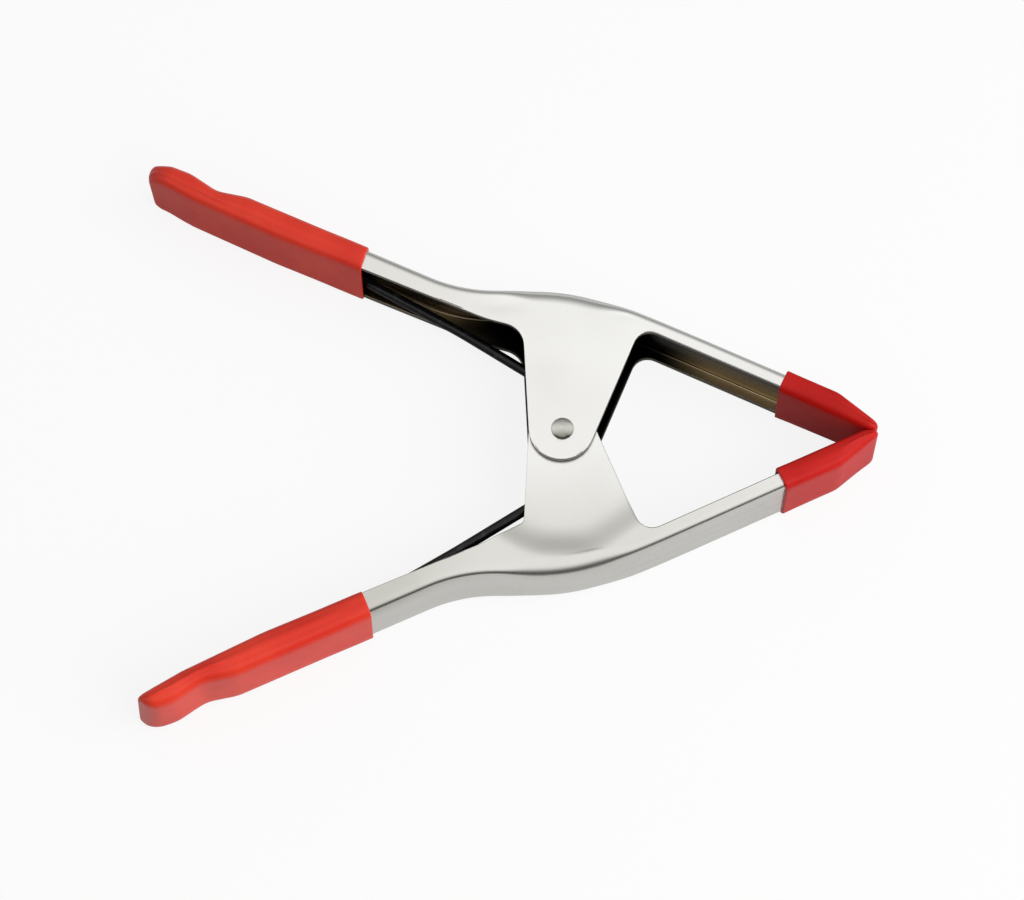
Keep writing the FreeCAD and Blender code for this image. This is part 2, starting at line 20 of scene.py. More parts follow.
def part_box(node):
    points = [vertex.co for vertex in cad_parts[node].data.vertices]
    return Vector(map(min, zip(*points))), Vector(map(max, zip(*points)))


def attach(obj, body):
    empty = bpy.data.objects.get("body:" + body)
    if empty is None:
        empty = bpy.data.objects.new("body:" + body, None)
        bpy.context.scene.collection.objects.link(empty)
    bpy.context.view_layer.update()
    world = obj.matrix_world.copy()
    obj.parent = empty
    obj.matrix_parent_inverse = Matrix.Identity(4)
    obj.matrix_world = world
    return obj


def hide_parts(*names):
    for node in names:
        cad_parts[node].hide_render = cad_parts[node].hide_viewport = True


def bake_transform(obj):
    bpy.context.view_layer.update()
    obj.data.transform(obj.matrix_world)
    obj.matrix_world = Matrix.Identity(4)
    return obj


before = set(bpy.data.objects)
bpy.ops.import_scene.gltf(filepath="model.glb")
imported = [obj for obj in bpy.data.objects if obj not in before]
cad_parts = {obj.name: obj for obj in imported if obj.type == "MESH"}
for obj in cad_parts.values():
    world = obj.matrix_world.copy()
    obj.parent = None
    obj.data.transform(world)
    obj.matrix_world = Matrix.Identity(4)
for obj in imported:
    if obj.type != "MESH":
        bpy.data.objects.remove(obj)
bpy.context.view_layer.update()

LOG = logging.getLogger("spring_clamp")
MM = 0.001
# Vertices closer than this, in millimetres, are merged.
WELD = 1e-4

Color = tuple[float, float, float]
Triple = tuple[float, float, float]
Span = tuple[float, float]


class Side(Enum):
    """Which of the two arms a piece belongs to."""

    OUTER = "outer"
    INNER = "inner"

    @property
    def body(self) -> str:
        """The CAD body that this side's pieces ride on."""
        return self.value + "_body"


class Corner(NamedTuple):
    """A corner of an outline, and the radius that rounds it."""

    x: float
    y: float
    radius: float = 0.0


def smooth_step(value: float) -> float:
    """0 below 0, 1 above 1, and a rise between them with no kink or change of curvature at its ends."""
    share = min(max(value, 0.0), 1.0)
    return share ** 3 * (share * (share * 6 - 15) + 10)


def unit(degrees: float) -> tuple[float, float]:
    """The unit vector at an angle from +x."""
    return math.cos(math.radians(degrees)), math.sin(math.radians(degrees))


def step_between(start: Sequence[float], end: Sequence[float]) -> tuple[float, float]:
    """The step from one point to another."""
    return end[0] - start[0], end[1] - start[1]


def at_x(start: Sequence[float], end: Sequence[float], x: float) -> tuple[float, float]:
    """The point at x on the straight line through two others."""
    share = (x - start[0]) / (end[0] - start[0])
    return x, start[1] + share * (end[1] - start[1])


def meet(
    point: Sequence[float],
    direction: Sequence[float],
    other: Sequence[float],
    other_direction: Sequence[float],
) -> tuple[float, float]:
    """Where two lines cross.

    Args:
        point: A point on the first line.
        direction: The first line's direction.
        other: A point on the second line.
        other_direction: The second line's direction.

    Returns:
        The crossing.
    """
    across = direction[0] * other_direction[1] - direction[1] * other_direction[0]
    along = ((other[0] - point[0]) * other_direction[1] - (other[1] - point[1]) * other_direction[0]) / across
    return point[0] + direction[0] * along, point[1] + direction[1] * along


def coons(top: np.ndarray, bottom: np.ndarray, left: np.ndarray, right: np.ndarray) -> np.ndarray:
    """A patch of points spanned between four edges that meet at their ends.

    Args:
        top: Points along the first row.
        bottom: Points along the last row.
        left: Points down the first column.
        right: Points down the last column.

    Returns:
        An array of points by row and column.
    """
    u = np.linspace(0.0, 1.0, len(top))[None, :, None]
    v = np.linspace(0.0, 1.0, len(left))[:, None, None]
    across = (1 - u) * left[:, None, :] + u * right[:, None, :]
    down = (1 - v) * top[None, :, :] + v * bottom[None, :, :]
    corners = ((1 - u) * (1 - v) * top[0] + u * (1 - v) * top[-1]
               + (1 - u) * v * bottom[0] + u * v * bottom[-1])
    return across + down - corners


class RoundedLine:
    """An open line through corners that arcs round off, measured along its length."""

    ARC_STEPS = 18
    NEAREST_SAMPLES = 4000
    CROSSING_SAMPLES = 6000
    CROWD_POWER = 12

    def __init__(self, corners: Sequence[Corner]) -> None:
        """Lays the line out.

        Args:
            corners: The corners in order. The line's outside is on its left.
        """
        self.corners = list(corners)
        points: list[np.ndarray] = []
        normals: list[np.ndarray] = []
        spots, headings = self._legs()
        for index, corner in enumerate(corners):
            before = headings[index - 1] if index > 0 else None
            after = headings[index] if index < len(headings) else None
            if before is None or after is None or corner.radius <= 0:
                for direction in (before, after):
                    if direction is not None:
                        points.append(spots[index])
                        normals.append(self._left(direction))
                continue
            cross = before[0] * after[1] - before[1] * after[0]
            turn = math.atan2(cross, float(before @ after))
            side = math.copysign(1.0, turn)
            start = spots[index] - before * corner.radius * math.tan(abs(turn) / 2)
            centre = start + self._left(before) * side * corner.radius
            for step in range(self.ARC_STEPS + 1):
                normal = self._turned(self._left(before), turn * step / self.ARC_STEPS)
                points.append(centre - normal * side * corner.radius)
                normals.append(normal)
        self.points = np.array(points)
        self.normals = np.array(normals)
        steps = np.linalg.norm(np.diff(self.points, axis=0), axis=1)
        self.stations = np.concatenate([[0.0], np.cumsum(steps)])
        self.length = float(self.stations[-1])

    def _legs(self) -> tuple[list[np.ndarray], list[np.ndarray]]:
        """The corners' places, and the unit direction from each to the next."""
        spots = [np.array((corner.x, corner.y)) for corner in self.corners]
        return spots, [(b - a) / np.linalg.norm(b - a) for a, b in zip(spots, spots[1:])]

    @staticmethod
    def _left(direction: np.ndarray) -> np.ndarray:
        """The direction a quarter turn to the left."""
        return np.array((-direction[1], direction[0]))

    @staticmethod
    def _turned(direction: np.ndarray, angle: float) -> np.ndarray:
        """A direction turned by an angle in radians."""
        (x, y), cosine, sine = direction, math.cos(angle), math.sin(angle)
        return np.array((x * cosine - y * sine, x * sine + y * cosine))

    def _read(self, values: np.ndarray, along: float | np.ndarray) -> np.ndarray:
        """The points' pairs of values, read at one or more distances along the line."""
        return np.stack([np.interp(along, self.stations, values[:, axis]) for axis in (0, 1)], axis=-1)

    def point(self, along: float | np.ndarray) -> np.ndarray:
        """The point at a distance along the line, or the points at several."""
        return self._read(self.points, along)

    def outward(self, along: float) -> np.ndarray:
        """The unit normal at a distance along the line, towards its outside."""
        normal = self._read(self.normals, along)
        return normal / np.linalg.norm(normal)

    def nearest(self, x: float, y: float) -> float:
        """The distance along the line of its nearest point to (x, y)."""
        fine = np.linspace(0.0, self.length, self.NEAREST_SAMPLES)
        return float(fine[np.argmin(np.hypot(*(self.point(fine) - (x, y)).T))])

    def at_x(self, x: float) -> float:
        """The distance along a line that always runs towards +x where it reaches x."""
        return float(np.interp(x, self.points[:, 0], self.stations))

    def crossing(self, foot: Sequence[float], direction: Sequence[float]) -> float:
        """Where the line crosses another one.

        Args:
            foot: A point on the other line.
            direction: The other line's direction.

        Returns:
            The distance along this line of the crossing that is nearest to foot.
        """
        fine = np.linspace(0.0, self.length, self.CROSSING_SAMPLES)
        dx, dy = (self.point(fine) - foot).T
        side = dx * direction[1] - dy * direction[0]
        changes = np.nonzero(side[:-1] * side[1:] <= 0)[0]
        return float(fine[min(changes, key=lambda index: math.hypot(dx[index], dy[index]))])

    def spread(self, start: float, end: float, count: int, crowd: float = 0.0) -> np.ndarray:
        """Points along the line from one distance to another.

        Args:
            start: The first point's distance along the line.
            end: The last point's distance, which may be less than start.
            count: The number of steps between points.
            crowd: How much closer the points lie towards the end, as a share of an even step.

        Returns:
            The points, count + 1 of them.
        """
        shares = np.linspace(0.0, 1.0, count + 1)
        weight = crowd / (self.CROWD_POWER - 1)
        shares = (1 + weight) * shares - weight * shares ** self.CROWD_POWER
        return self.point(start + (end - start) * shares)

    def offset(self, distance: float) -> "RoundedLine":
        """The line moved to its left, with arcs that stay concentric.

        Args:
            distance: How far to move it; negative moves it to the right.

        Returns:
            The moved line.
        """
        spots, headings = self._legs()
        moved = [Corner(*(spots[0] + self._left(headings[0]) * distance))]
        for corner, spot, before, after in zip(self.corners[1:], spots[1:], headings, headings[1:]):
            turn = before[0] * after[1] - before[1] * after[0]
            bisector = self._left(before) + self._left(after)
            shift = bisector * distance * 2 / float(bisector @ bisector)
            radius = corner.radius - math.copysign(1.0, turn) * distance if corner.radius else 0.0
            moved.append(Corner(*(spot + shift), max(radius, 0.0)))
        moved.append(Corner(*(spots[-1] + self._left(headings[-1]) * distance)))
        return RoundedLine(moved)

    def reversed(self) -> "RoundedLine":
        """The same line run the other way, so that its outside is on its right."""
        return RoundedLine(self.corners[::-1])


class MeshShop:
    """Steps of mesh work that several pieces share."""

    ROLL_SEGMENTS = 3

    @staticmethod
    def neighbours(row: list[bmesh.types.BMVert], closed: bool) -> list[tuple[bmesh.types.BMVert, ...]]:
        """Each vertex of a row with the next one, and the last with the first where the row is closed."""
        return list(zip(row, row[1:] + row[:1])) if closed else list(zip(row, row[1:]))

    @staticmethod
    def row(
        mesh: bmesh.types.BMesh,
        places: Sequence[Vector],
        closed: bool = False,
    ) -> list[bmesh.types.BMVert]:
        """Starts a surface with a row of joined vertices.

        Args:
            mesh: The mesh to add to.
            places: Where the vertices lie.
            closed: Whether the row is a ring.

        Returns:
            The vertices in order.
        """
        made = [mesh.verts.new(place) for place in places]
        for pair in MeshShop.neighbours(made, closed):
            mesh.edges.new(pair)
        return made

    @staticmethod
    def extrude_row(
        mesh: bmesh.types.BMesh,
        row: list[bmesh.types.BMVert],
        places: Sequence[Vector],
        closed: bool = False,
    ) -> list[bmesh.types.BMVert]:
        """Extrudes a row of vertices and sets the new row at its places.

        Args:
            mesh: The mesh to add to.
            row: The row's vertices in order.
            places: Where the new vertices lie.
            closed: Whether the row is a ring.

        Returns:
            The new row's vertices in order.
        """
        edges = [mesh.edges.get(pair) for pair in MeshShop.neighbours(row, closed)]
        made = bmesh.ops.extrude_edge_only(mesh, edges=edges)["geom"]
        fresh = {item for item in made if isinstance(item, bmesh.types.BMVert)}
        following = []
        for vertex, place in zip(row, places):
            others = (edge.other_vert(vertex) for edge in vertex.link_edges)
            new = next(other for other in others if other in fresh)
            new.co = place
            following.append(new)
        return following

    @staticmethod
    def thicken(mesh: bmesh.types.BMesh, thickness: float, inside: int, rim: int) -> None:
        """Gives an open surface a wall on its inner side.

        Args:
            mesh: The surface, its faces pointing outwards.
            thickness: The wall.
            inside: The material index of the inner faces.
            rim: The material index of the faces round the openings.
        """
        outer = set(mesh.faces)
        open_edges = {edge for edge in mesh.edges if edge.is_boundary}
        outer_rim = {vertex for edge in open_edges for vertex in edge.verts}
        bmesh.ops.solidify(mesh, geom=mesh.faces[:], thickness=thickness)
        for face in mesh.faces:
            if face in outer:
                continue
            touches = sum(vertex in outer_rim for vertex in face.verts)
            face.material_index = rim if touches >= 2 else inside

    @staticmethod
    def roll(
        mesh: bmesh.types.BMesh,
        edges: list[bmesh.types.BMEdge],
        radius: float,
    ) -> list[bmesh.types.BMFace]:
        """Rounds edges.

        Args:
            mesh: The mesh to work on.
            edges: The edges to round.
            radius: How far the rounding reaches from each edge.

        Returns:
            The roundings' faces.
        """
        made = bmesh.ops.bevel(mesh, geom=edges, offset=radius, affect="EDGES",
                               segments=MeshShop.ROLL_SEGMENTS, profile=0.5, material=-1)
        return made["faces"]

    @staticmethod
    def soften_rims(mesh: bmesh.types.BMesh, rim: int, outside: float, inside: float) -> None:
        """Rounds the edges between the rims and the surfaces on both sides.

        Args:
            mesh: A thickened mesh.
            rim: The material index of the rims' faces.
            outside: The rounding towards the outer surface, whose material index of 0 it takes.
            inside: The rounding towards the inner surface.
        """
        for radius, outer in ((outside, True), (inside, False)):
            edges = []
            for edge in mesh.edges:
                indices = [face.material_index for face in edge.link_faces]
                if len(indices) == 2 and indices.count(rim) == 1 and (0 in indices) == outer:
                    edges.append(edge)
            for face in MeshShop.roll(mesh, edges, radius):
                if outer:
                    face.material_index = 0

    @staticmethod
    def sweep(
        mesh: bmesh.types.BMesh,
        radius: float,
        sides: int,
        stations: Sequence[Matrix],
    ) -> list[list[bmesh.types.BMVert]]:
        """Extrudes a circle from station to station.

        Args:
            mesh: The mesh to add to.
            radius: The circle's radius.
            sides: Its number of sides.
            stations: Where each circle lies, with z along the path.

        Returns:
            The rings, in order.
        """
        made = bmesh.ops.create_circle(mesh, segments=sides, radius=radius, matrix=stations[0])["verts"]
        flat = [stations[0].inverted() @ vertex.co for vertex in made]
        rings = [made]
        for station in stations[1:]:
            places = [station @ place for place in flat]
            rings.append(MeshShop.extrude_row(mesh, rings[-1], places, closed=True))
        return rings


class Bench:
    """Sets finished meshes in the row frame as pieces that take the place of their solids."""

    def __init__(self) -> None:
        """Reads the rivet's axis and the flanges' lower face from the frame."""
        rivet_low, rivet_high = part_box("pivot_rivet")
        arm_low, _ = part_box("outer_arm")
        self.axis_x = (rivet_low.x + rivet_high.x) / 2
        self.flange_z = arm_low.z

    def matrix(self, side: Side) -> Matrix:
        """From millimetres round the rivet to the row frame, mirrored for the inner arm."""
        mirror = -1.0 if side is Side.INNER else 1.0
        return (Matrix.Translation((self.axis_x, 0.0, self.flange_z))
                @ Matrix.Diagonal((MM, MM * mirror, MM, 1.0)))

    def place(
        self,
        mesh: bmesh.types.BMesh,
        name: str,
        side: Side,
        slot: str,
        materials: Sequence[bpy.types.Material],
    ) -> bpy.types.Object:
        """Turns a finished mesh into a piece at the origin of the row frame.

        Args:
            mesh: The mesh in millimetres; it is freed.
            name: The piece's name, which is also its solid's.
            side: Whose side the piece is drawn for.
            slot: The piece's material slot; not used.
            materials: One for each material index.

        Returns:
            The piece.
        """
        bmesh.ops.transform(mesh, matrix=self.matrix(side), verts=mesh.verts[:])
        bmesh.ops.recalc_face_normals(mesh, faces=mesh.faces[:])
        for face in mesh.faces:
            face.smooth = True
        data = bpy.data.meshes.new(name)
        mesh.to_mesh(data)
        mesh.free()
        for material in materials:
            data.materials.append(material)
        piece = bpy.data.objects.new(name, data)
        bpy.context.scene.collection.objects.link(piece)
        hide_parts(name)
        return piece


class Shade:
    """A shader socket that Python's operators work on by adding Math nodes."""

    def __init__(self, nodes: "Nodes", socket: bpy.types.NodeSocket) -> None:
        """Wraps a socket of a node tree."""
        self.nodes = nodes
        self.socket = socket

    def _math(self, operation: str, *values: "Shade | float") -> "Shade":
        """One Math node on this socket's tree."""
        return self.nodes.node("ShaderNodeMath", values, operation=operation)

    def __add__(self, other: "Shade | float") -> "Shade":
        """self + other."""
        return self._math("ADD", self, other)

    __radd__ = __add__

    def __sub__(self, other: "Shade | float") -> "Shade":
        """self - other."""
        return self._math("SUBTRACT", self, other)

    def __rsub__(self, other: "Shade | float") -> "Shade":
        """other - self."""
        return self._math("SUBTRACT", other, self)

    def __mul__(self, other: "Shade | float") -> "Shade":
        """self * other."""
        return self._math("MULTIPLY", self, other)

    __rmul__ = __mul__

    def between(self, low: float, high: float) -> "Shade":
        """0 where this is at low or below, 1 at high or above, and a smooth rise between them."""
        return self.nodes.node("ShaderNodeMapRange", {"Value": self, "From Min": low, "From Max": high},
                               interpolation_type="SMOOTHSTEP")


class Nodes:
    """A node tree under construction."""

    def __init__(self, tree: bpy.types.NodeTree, coordinates: str = "Object") -> None:
        """Empties the tree and adds the coordinates that its patterns read."""
        self.tree = tree
        tree.nodes.clear()
        self.place = self.node("ShaderNodeTexCoord", output=coordinates)

    def feed(self, socket: bpy.types.NodeSocket, value: "Shade | float | Sequence[float]") -> None:
        """Links a socket or sets its value.

        Args:
            socket: The socket.
            value: What feeds it: a socket, a number, or three numbers for a colour or a vector.
        """
        if isinstance(value, Shade):
            self.tree.links.new(value.socket, socket)
        else:
            socket.default_value = (*value, 1.0) if socket.type == "RGBA" else value

    def node(
        self,
        kind: str,
        inputs: dict[str | int, object] | Sequence[object] = (),
        output: str | int = 0,
        **settings: object,
    ) -> Shade:
        """Adds a node.

        Args:
            kind: The node's type.
            inputs: Values or links for its sockets, by name or in order.
            output: The output socket that the result stands for.
            settings: The node's own settings, set before its sockets.

        Returns:
            The output socket, wrapped.
        """
        node = self.tree.nodes.new(kind)
        for key, value in settings.items():
            setattr(node, key, value)
        for key, value in inputs.items() if isinstance(inputs, dict) else enumerate(inputs):
            self.feed(node.inputs[key], value)
        return Shade(self, node.outputs[output])

    def end(self, kind: str, shader: Shade) -> None:
        """Adds the tree's output node, of a kind, and feeds its surface."""
        output = self.tree.nodes.new(kind)
        self.feed(output.inputs["Surface"], shader)

    def axis(self, letter: str) -> Shade:
        """One of the coordinates that the tree reads."""
        return self.node("ShaderNodeSeparateXYZ", {"Vector": self.place}, letter)

    def fade(self, letter: str, span: Span, origin: float = 0.0) -> Shade:
        """A smooth rise from 0 to 1 along an axis, over a span that is measured from an origin."""
        return self.axis(letter).between(origin + span[0], origin + span[1])

    def noise(self, scale: float, detail: float = 2.0, stretch: Triple = (1.0, 1.0, 1.0)) -> Shade:
        """Noise over the piece, about 0.5 on average.

        Args:
            scale: How many blobs fit in a metre.
            detail: Octaves.
            stretch: The pattern's scale along x, y and z.

        Returns:
            The noise's value.
        """
        stretched = self.node("ShaderNodeMapping", {"Vector": self.place, "Scale": stretch},
                              vector_type="POINT")
        return self.node("ShaderNodeTexNoise", {"Vector": stretched, "Scale": scale, "Detail": detail}, "Fac")

    def mix(self, share: Shade, first: "Shade | Color", second: "Shade | Color") -> Shade:
        """A colour between two others.

        Args:
            share: 0 gives the first and 1 the second.
            first: A colour or a socket.
            second: A colour or a socket.

        Returns:
            The mixed colour.
        """
        return self.node("ShaderNodeMix", {"Factor": share, 6: first, 7: second}, 2, data_type="RGBA")

    def rays(self) -> tuple[Shade, Shade]:
        """1 on what the camera sees directly or through glass, and 1 on what it sees in a reflection."""
        camera, glossy, through = (self.node("ShaderNodeLightPath", output=ray) for ray in (
            "Is Camera Ray", "Is Glossy Ray", "Is Transmission Ray"))
        return camera + through, glossy


class Finish(Nodes):
    """A material under construction: a Principled shader and the nodes that feed it."""

    def __init__(self, name: str) -> None:
        """Starts a material with one Principled shader."""
        self.material = bpy.data.materials.new(name)
        self.material.use_nodes = True
        super().__init__(self.material.node_tree)
        self.shader = self.tree.nodes.new("ShaderNodeBsdfPrincipled")
        self.end("ShaderNodeOutputMaterial", Shade(self, self.shader.outputs["BSDF"]))

    def set(self, **sockets: "Shade | float | Color") -> None:
        """Sets the Principled shader's sockets; an underscore stands for a space in a socket's name."""
        for name, value in sockets.items():
            self.feed(self.shader.inputs[name.replace("_", " ")], value)

    def bump(self, height: Shade, distance: float) -> None:
        """Tilts the surface's normals over a height of 0 to 1, distance metres deep."""
        sockets = {"Height": height, "Distance": distance, "Strength": 1.0}
        self.set(Normal=self.node("ShaderNodeBump", sockets, "Normal"))


@dataclass(frozen=True)
class NickelPlate:
    """Satin nickel plating with rolling lines along the web, darker over the handles, with painted shade over
    the lower arm.
    """

    axis_x: float
    name: str = "nickel_plate"
    bright: Color = (0.87, 0.865, 0.84)
    clouded: Color = (0.79, 0.78, 0.745)
    # A darker grey for the handle flanges, and painted shade for the lower arm.
    handle_dark_and_shade: Color = (0.58, 0.57, 0.52)
    roughness: float = 0.23
    unevenness: float = 0.04
    cloud_scale: float = 38.0
    cloud_range: Span = (0.4, 0.8)
    cloud_tint: float = 0.35
    line_scale: float = 620.0
    line_stretch: Triple = (0.02, 0.02, 1.0)
    line_range: Span = (0.4, 0.66)
    line_tint: float = 0.55
    grain_scale: float = 1400.0
    grain_depth: float = 0.0000015
    handle_span: Span = (-0.050, -0.012)
    flange_span: Span = (0.012, 0.0195)
    handle_tint: float = 0.4
    handle_clouds: float = 0.2
    # Where the lower arm's painted shade sets in, towards -y, and how strong it is.
    lower_shade_span: Span = (-0.032, 0.0)
    lower_shade_tint: float = 0.5

    def make(self) -> bpy.types.Material:
        """Makes the material.

        Returns:
            The material.
        """
        finish = Finish(self.name)
        clouds = finish.noise(self.cloud_scale).between(*self.cloud_range)
        lines = finish.noise(self.line_scale, stretch=self.line_stretch).between(*self.line_range)
        grain = finish.noise(self.grain_scale)
        plate = finish.mix(clouds * self.cloud_tint + lines * self.line_tint, self.bright, self.clouded)
        # The handle's upper flange is mixed towards the darker grey.
        handle = (1.0 - finish.fade("X", self.handle_span, self.axis_x)) * finish.fade("Z", self.flange_span)
        # Painted shade: the lower arm, towards -y, is mixed towards the darker grey too.
        lower = 1.0 - finish.fade("Y", self.lower_shade_span)
        darkening_and_shade = handle * (self.handle_tint + clouds * self.handle_clouds) + lower * self.lower_shade_tint
        finish.set(
            Metallic=1.0,
            Base_Color=finish.mix(darkening_and_shade, plate, self.handle_dark_and_shade),
            Roughness=clouds * self.unevenness + grain * self.unevenness + self.roughness,
        )
        finish.bump(grain, self.grain_depth)
        return finish.material


@dataclass(frozen=True)
class ChannelPaintedShade:
    """The inside of the channels in painted shade and painted reflection: black shade by the ears and high on
    the web, with painted brown and bronze reflections beyond.
    """

    axis_x: float
    flange_z: float
    name: str = "channel_painted_shade"
    # Painted shade black, and painted brown and bronze reflections.
    black: Color = (0.010, 0.009, 0.008)
    reflected_brown: Color = (0.15, 0.12, 0.075)
    reflected_bronze: Color = (0.52, 0.41, 0.25)
    streak_scale: float = 420.0
    streak_stretch: Triple = (0.06, 0.12, 1.0)
    streak_range: Span = (0.35, 0.7)
    jaw_span: Span = (0.026, 0.042)
    handle_span: Span = (-0.034, -0.014)
    handle_tint: float = 0.3
    handle_streaks: float = 0.5
    lower_flange_span: Span = (0.0020, 0.0042)
    flange_tint: float = 0.6
    flange_streaks: float = 0.4
    upper_web_span: Span = (0.0085, 0.0125)
    upper_web_shade: float = 0.85
    roughness: float = 0.24
    unevenness: float = 0.08

    def make(self) -> bpy.types.Material:
        """Makes the material.

        Returns:
            The material.
        """
        finish = Finish(self.name)
        streaks = finish.noise(self.streak_scale, stretch=self.streak_stretch).between(*self.streak_range)
        # Painted reflection towards the jaw and, in streaks, towards the handle; painted-shade black between
        # them by the ears.
        jaw = finish.fade("X", self.jaw_span, self.axis_x)
        handle = 1.0 - finish.fade("X", self.handle_span, self.axis_x)
        # Painted reflection of the floor, lighter and more bronze, low on the lower flange.
        floor_reflection_mask = 1.0 - finish.fade("Z", self.lower_flange_span, self.flange_z)
        # Painted shade darkens the upper half of the inner web back towards black.
        upper_web_shade_mask = finish.fade("Z", self.upper_web_span, self.flange_z)
        bright = floor_reflection_mask * (streaks * self.flange_streaks + self.flange_tint)
        reflected_tint = finish.mix(bright, self.reflected_brown, self.reflected_bronze)
        reflection_share = jaw + handle * (streaks * self.handle_streaks + self.handle_tint)
        finish.set(
            Metallic=1.0,
            Base_Color=finish.mix(reflection_share * (1.0 - upper_web_shade_mask * self.upper_web_shade), self.black, reflected_tint),
            Roughness=streaks * self.unevenness + self.roughness,
        )
        return finish.material


@dataclass(frozen=True)
class BlankedEdgeAndGapShade:
    """Steel where the blanking die cut it, drawn across the sheet; its dark colour is partly painted shade,
    standing in for the shadowed gap under the ear's edge.
    """

    name: str = "blanked_edge_and_gap_shade"
    # Dark partly as painted shade for the shadowed gap under the upper ear's edge.
    color: Color = (0.14, 0.13, 0.11)
    drag_scale: float = 1500.0
    drag_stretch: Triple = (1.0, 1.0, 0.1)
    drag_depth: float = 0.00002
    roughness: float = 0.22
    unevenness: float = 0.2

    def make(self) -> bpy.types.Material:
        """Makes the material.

        Returns:
            The material.
        """
        finish = Finish(self.name)
        drag = finish.noise(self.drag_scale, stretch=self.drag_stretch)
        finish.set(Metallic=1.0, Base_Color=self.color, Roughness=drag * self.unevenness + self.roughness)
        finish.bump(drag, self.drag_depth)
        return finish.material


@dataclass(frozen=True)
class DippedVinyl:
    """Half-glossy red vinyl with the slight unevenness that dipping leaves."""

    name: str
    red: Color
    deep: Color
    sheen: float = 0.3
    coat_share: float = 0.4
    coat_roughness: float = 0.2
    pool_scale: float = 60.0
    pool_range: Span = (0.35, 0.75)
    skin_scale: float = 420.0
    skin_depth: float = 0.00006
    roughness: float = 0.34
    unevenness: float = 0.08

    def make(self) -> bpy.types.Material:
        """Makes the material.

        Returns:
            The material.
        """
        finish = Finish(self.name)
        pooling = finish.noise(self.pool_scale).between(*self.pool_range)
        skin = finish.noise(self.skin_scale)
        finish.set(
            Base_Color=finish.mix(pooling, self.red, self.deep),
            Roughness=skin * self.unevenness + self.roughness,
            Specular_IOR_Level=self.sheen,
            Coat_Weight=self.sheen * self.coat_share,
            Coat_Roughness=self.coat_roughness,
        )
        finish.bump(skin, self.skin_depth)
        return finish.material


@dataclass(frozen=True)
class OiledWire:
    """Black oil-tempered spring wire, a little uneven from the drawing die."""

    name: str = "oiled_wire"
    black: Color = (0.012, 0.012, 0.013)
    worn: Color = (0.05, 0.05, 0.052)
    metal: float = 0.6
    wear_scale: float = 320.0
    wear_detail: float = 3.0
    wear_range: Span = (0.5, 0.8)
    drawn_scale: float = 700.0
    drawn_depth: float = 0.00003
    roughness: float = 0.28
    unevenness: float = 0.12

    def make(self) -> bpy.types.Material:
        """Makes the material.

        Returns:
            The material.
        """
        finish = Finish(self.name)
        wear = finish.noise(self.wear_scale, self.wear_detail).between(*self.wear_range)
        finish.set(
            Metallic=self.metal,
            Base_Color=finish.mix(wear, self.black, self.worn),
            Roughness=wear * self.unevenness + self.roughness,
        )
        finish.bump(finish.noise(self.drawn_scale), self.drawn_depth)
        return finish.material


@dataclass(frozen=True)
class FormedRivet:
    """Plated rivet steel, scuffed in spots by the forming tool, with painted shade on the lower (-y) side of
    its heads.
    """

    name: str = "formed_rivet"
    color: Color = (0.60, 0.59, 0.535)
    # The colour of the scuffs, and of the painted shade on the -y side.
    scuff_and_shade: Color = (0.14, 0.135, 0.11)
    scuff_scale: float = 700.0
    scuff_detail: float = 3.0
    scuff_range: Span = (0.4, 0.75)
    scuff_tint: float = 0.15
    scuff_depth: float = 0.00003
    shade_side_span: Span = (-0.0030, -0.0001)
    shade_side_tint: float = 0.85
    roughness: float = 0.2
    unevenness: float = 0.1

    def make(self) -> bpy.types.Material:
        """Makes the material.

        Returns:
            The material.
        """
        finish = Finish(self.name)
        scuffs = finish.noise(self.scuff_scale, self.scuff_detail).between(*self.scuff_range)
        # Painted shade: the heads darken towards -y.
        foot = 1.0 - finish.fade("Y", self.shade_side_span)
        finish.set(
            Metallic=1.0,
            Base_Color=finish.mix(scuffs * self.scuff_tint + foot * self.shade_side_tint, self.color, self.scuff_and_shade),
            Roughness=scuffs * self.unevenness + self.roughness,
        )
        finish.bump(scuffs, self.scuff_depth)
        return finish.material


@dataclass(frozen=True)
class HandleForm:
    """The sizes in which the two handle sleeves differ; back_end_y is the back's height past the end."""

    name: str
    side: Side
    mouth_x: float
    mouth_lean: float
    grip_wall: float
    end_wall: float
    heel: Corner
    heel_rise: float
    back_end_y: float
    end_radius: float
    grip_edge: float
    grip_swell: float
    end_edge: float
    end_lean: float


@dataclass(frozen=True)
class TipForm:
    """The sizes in which the two jaw tips differ."""

    name: str
    side: Side
    mouth_x: float
    grip_wall: float
    back_edge: float
    grip_edges: Triple
    grip_swell: float


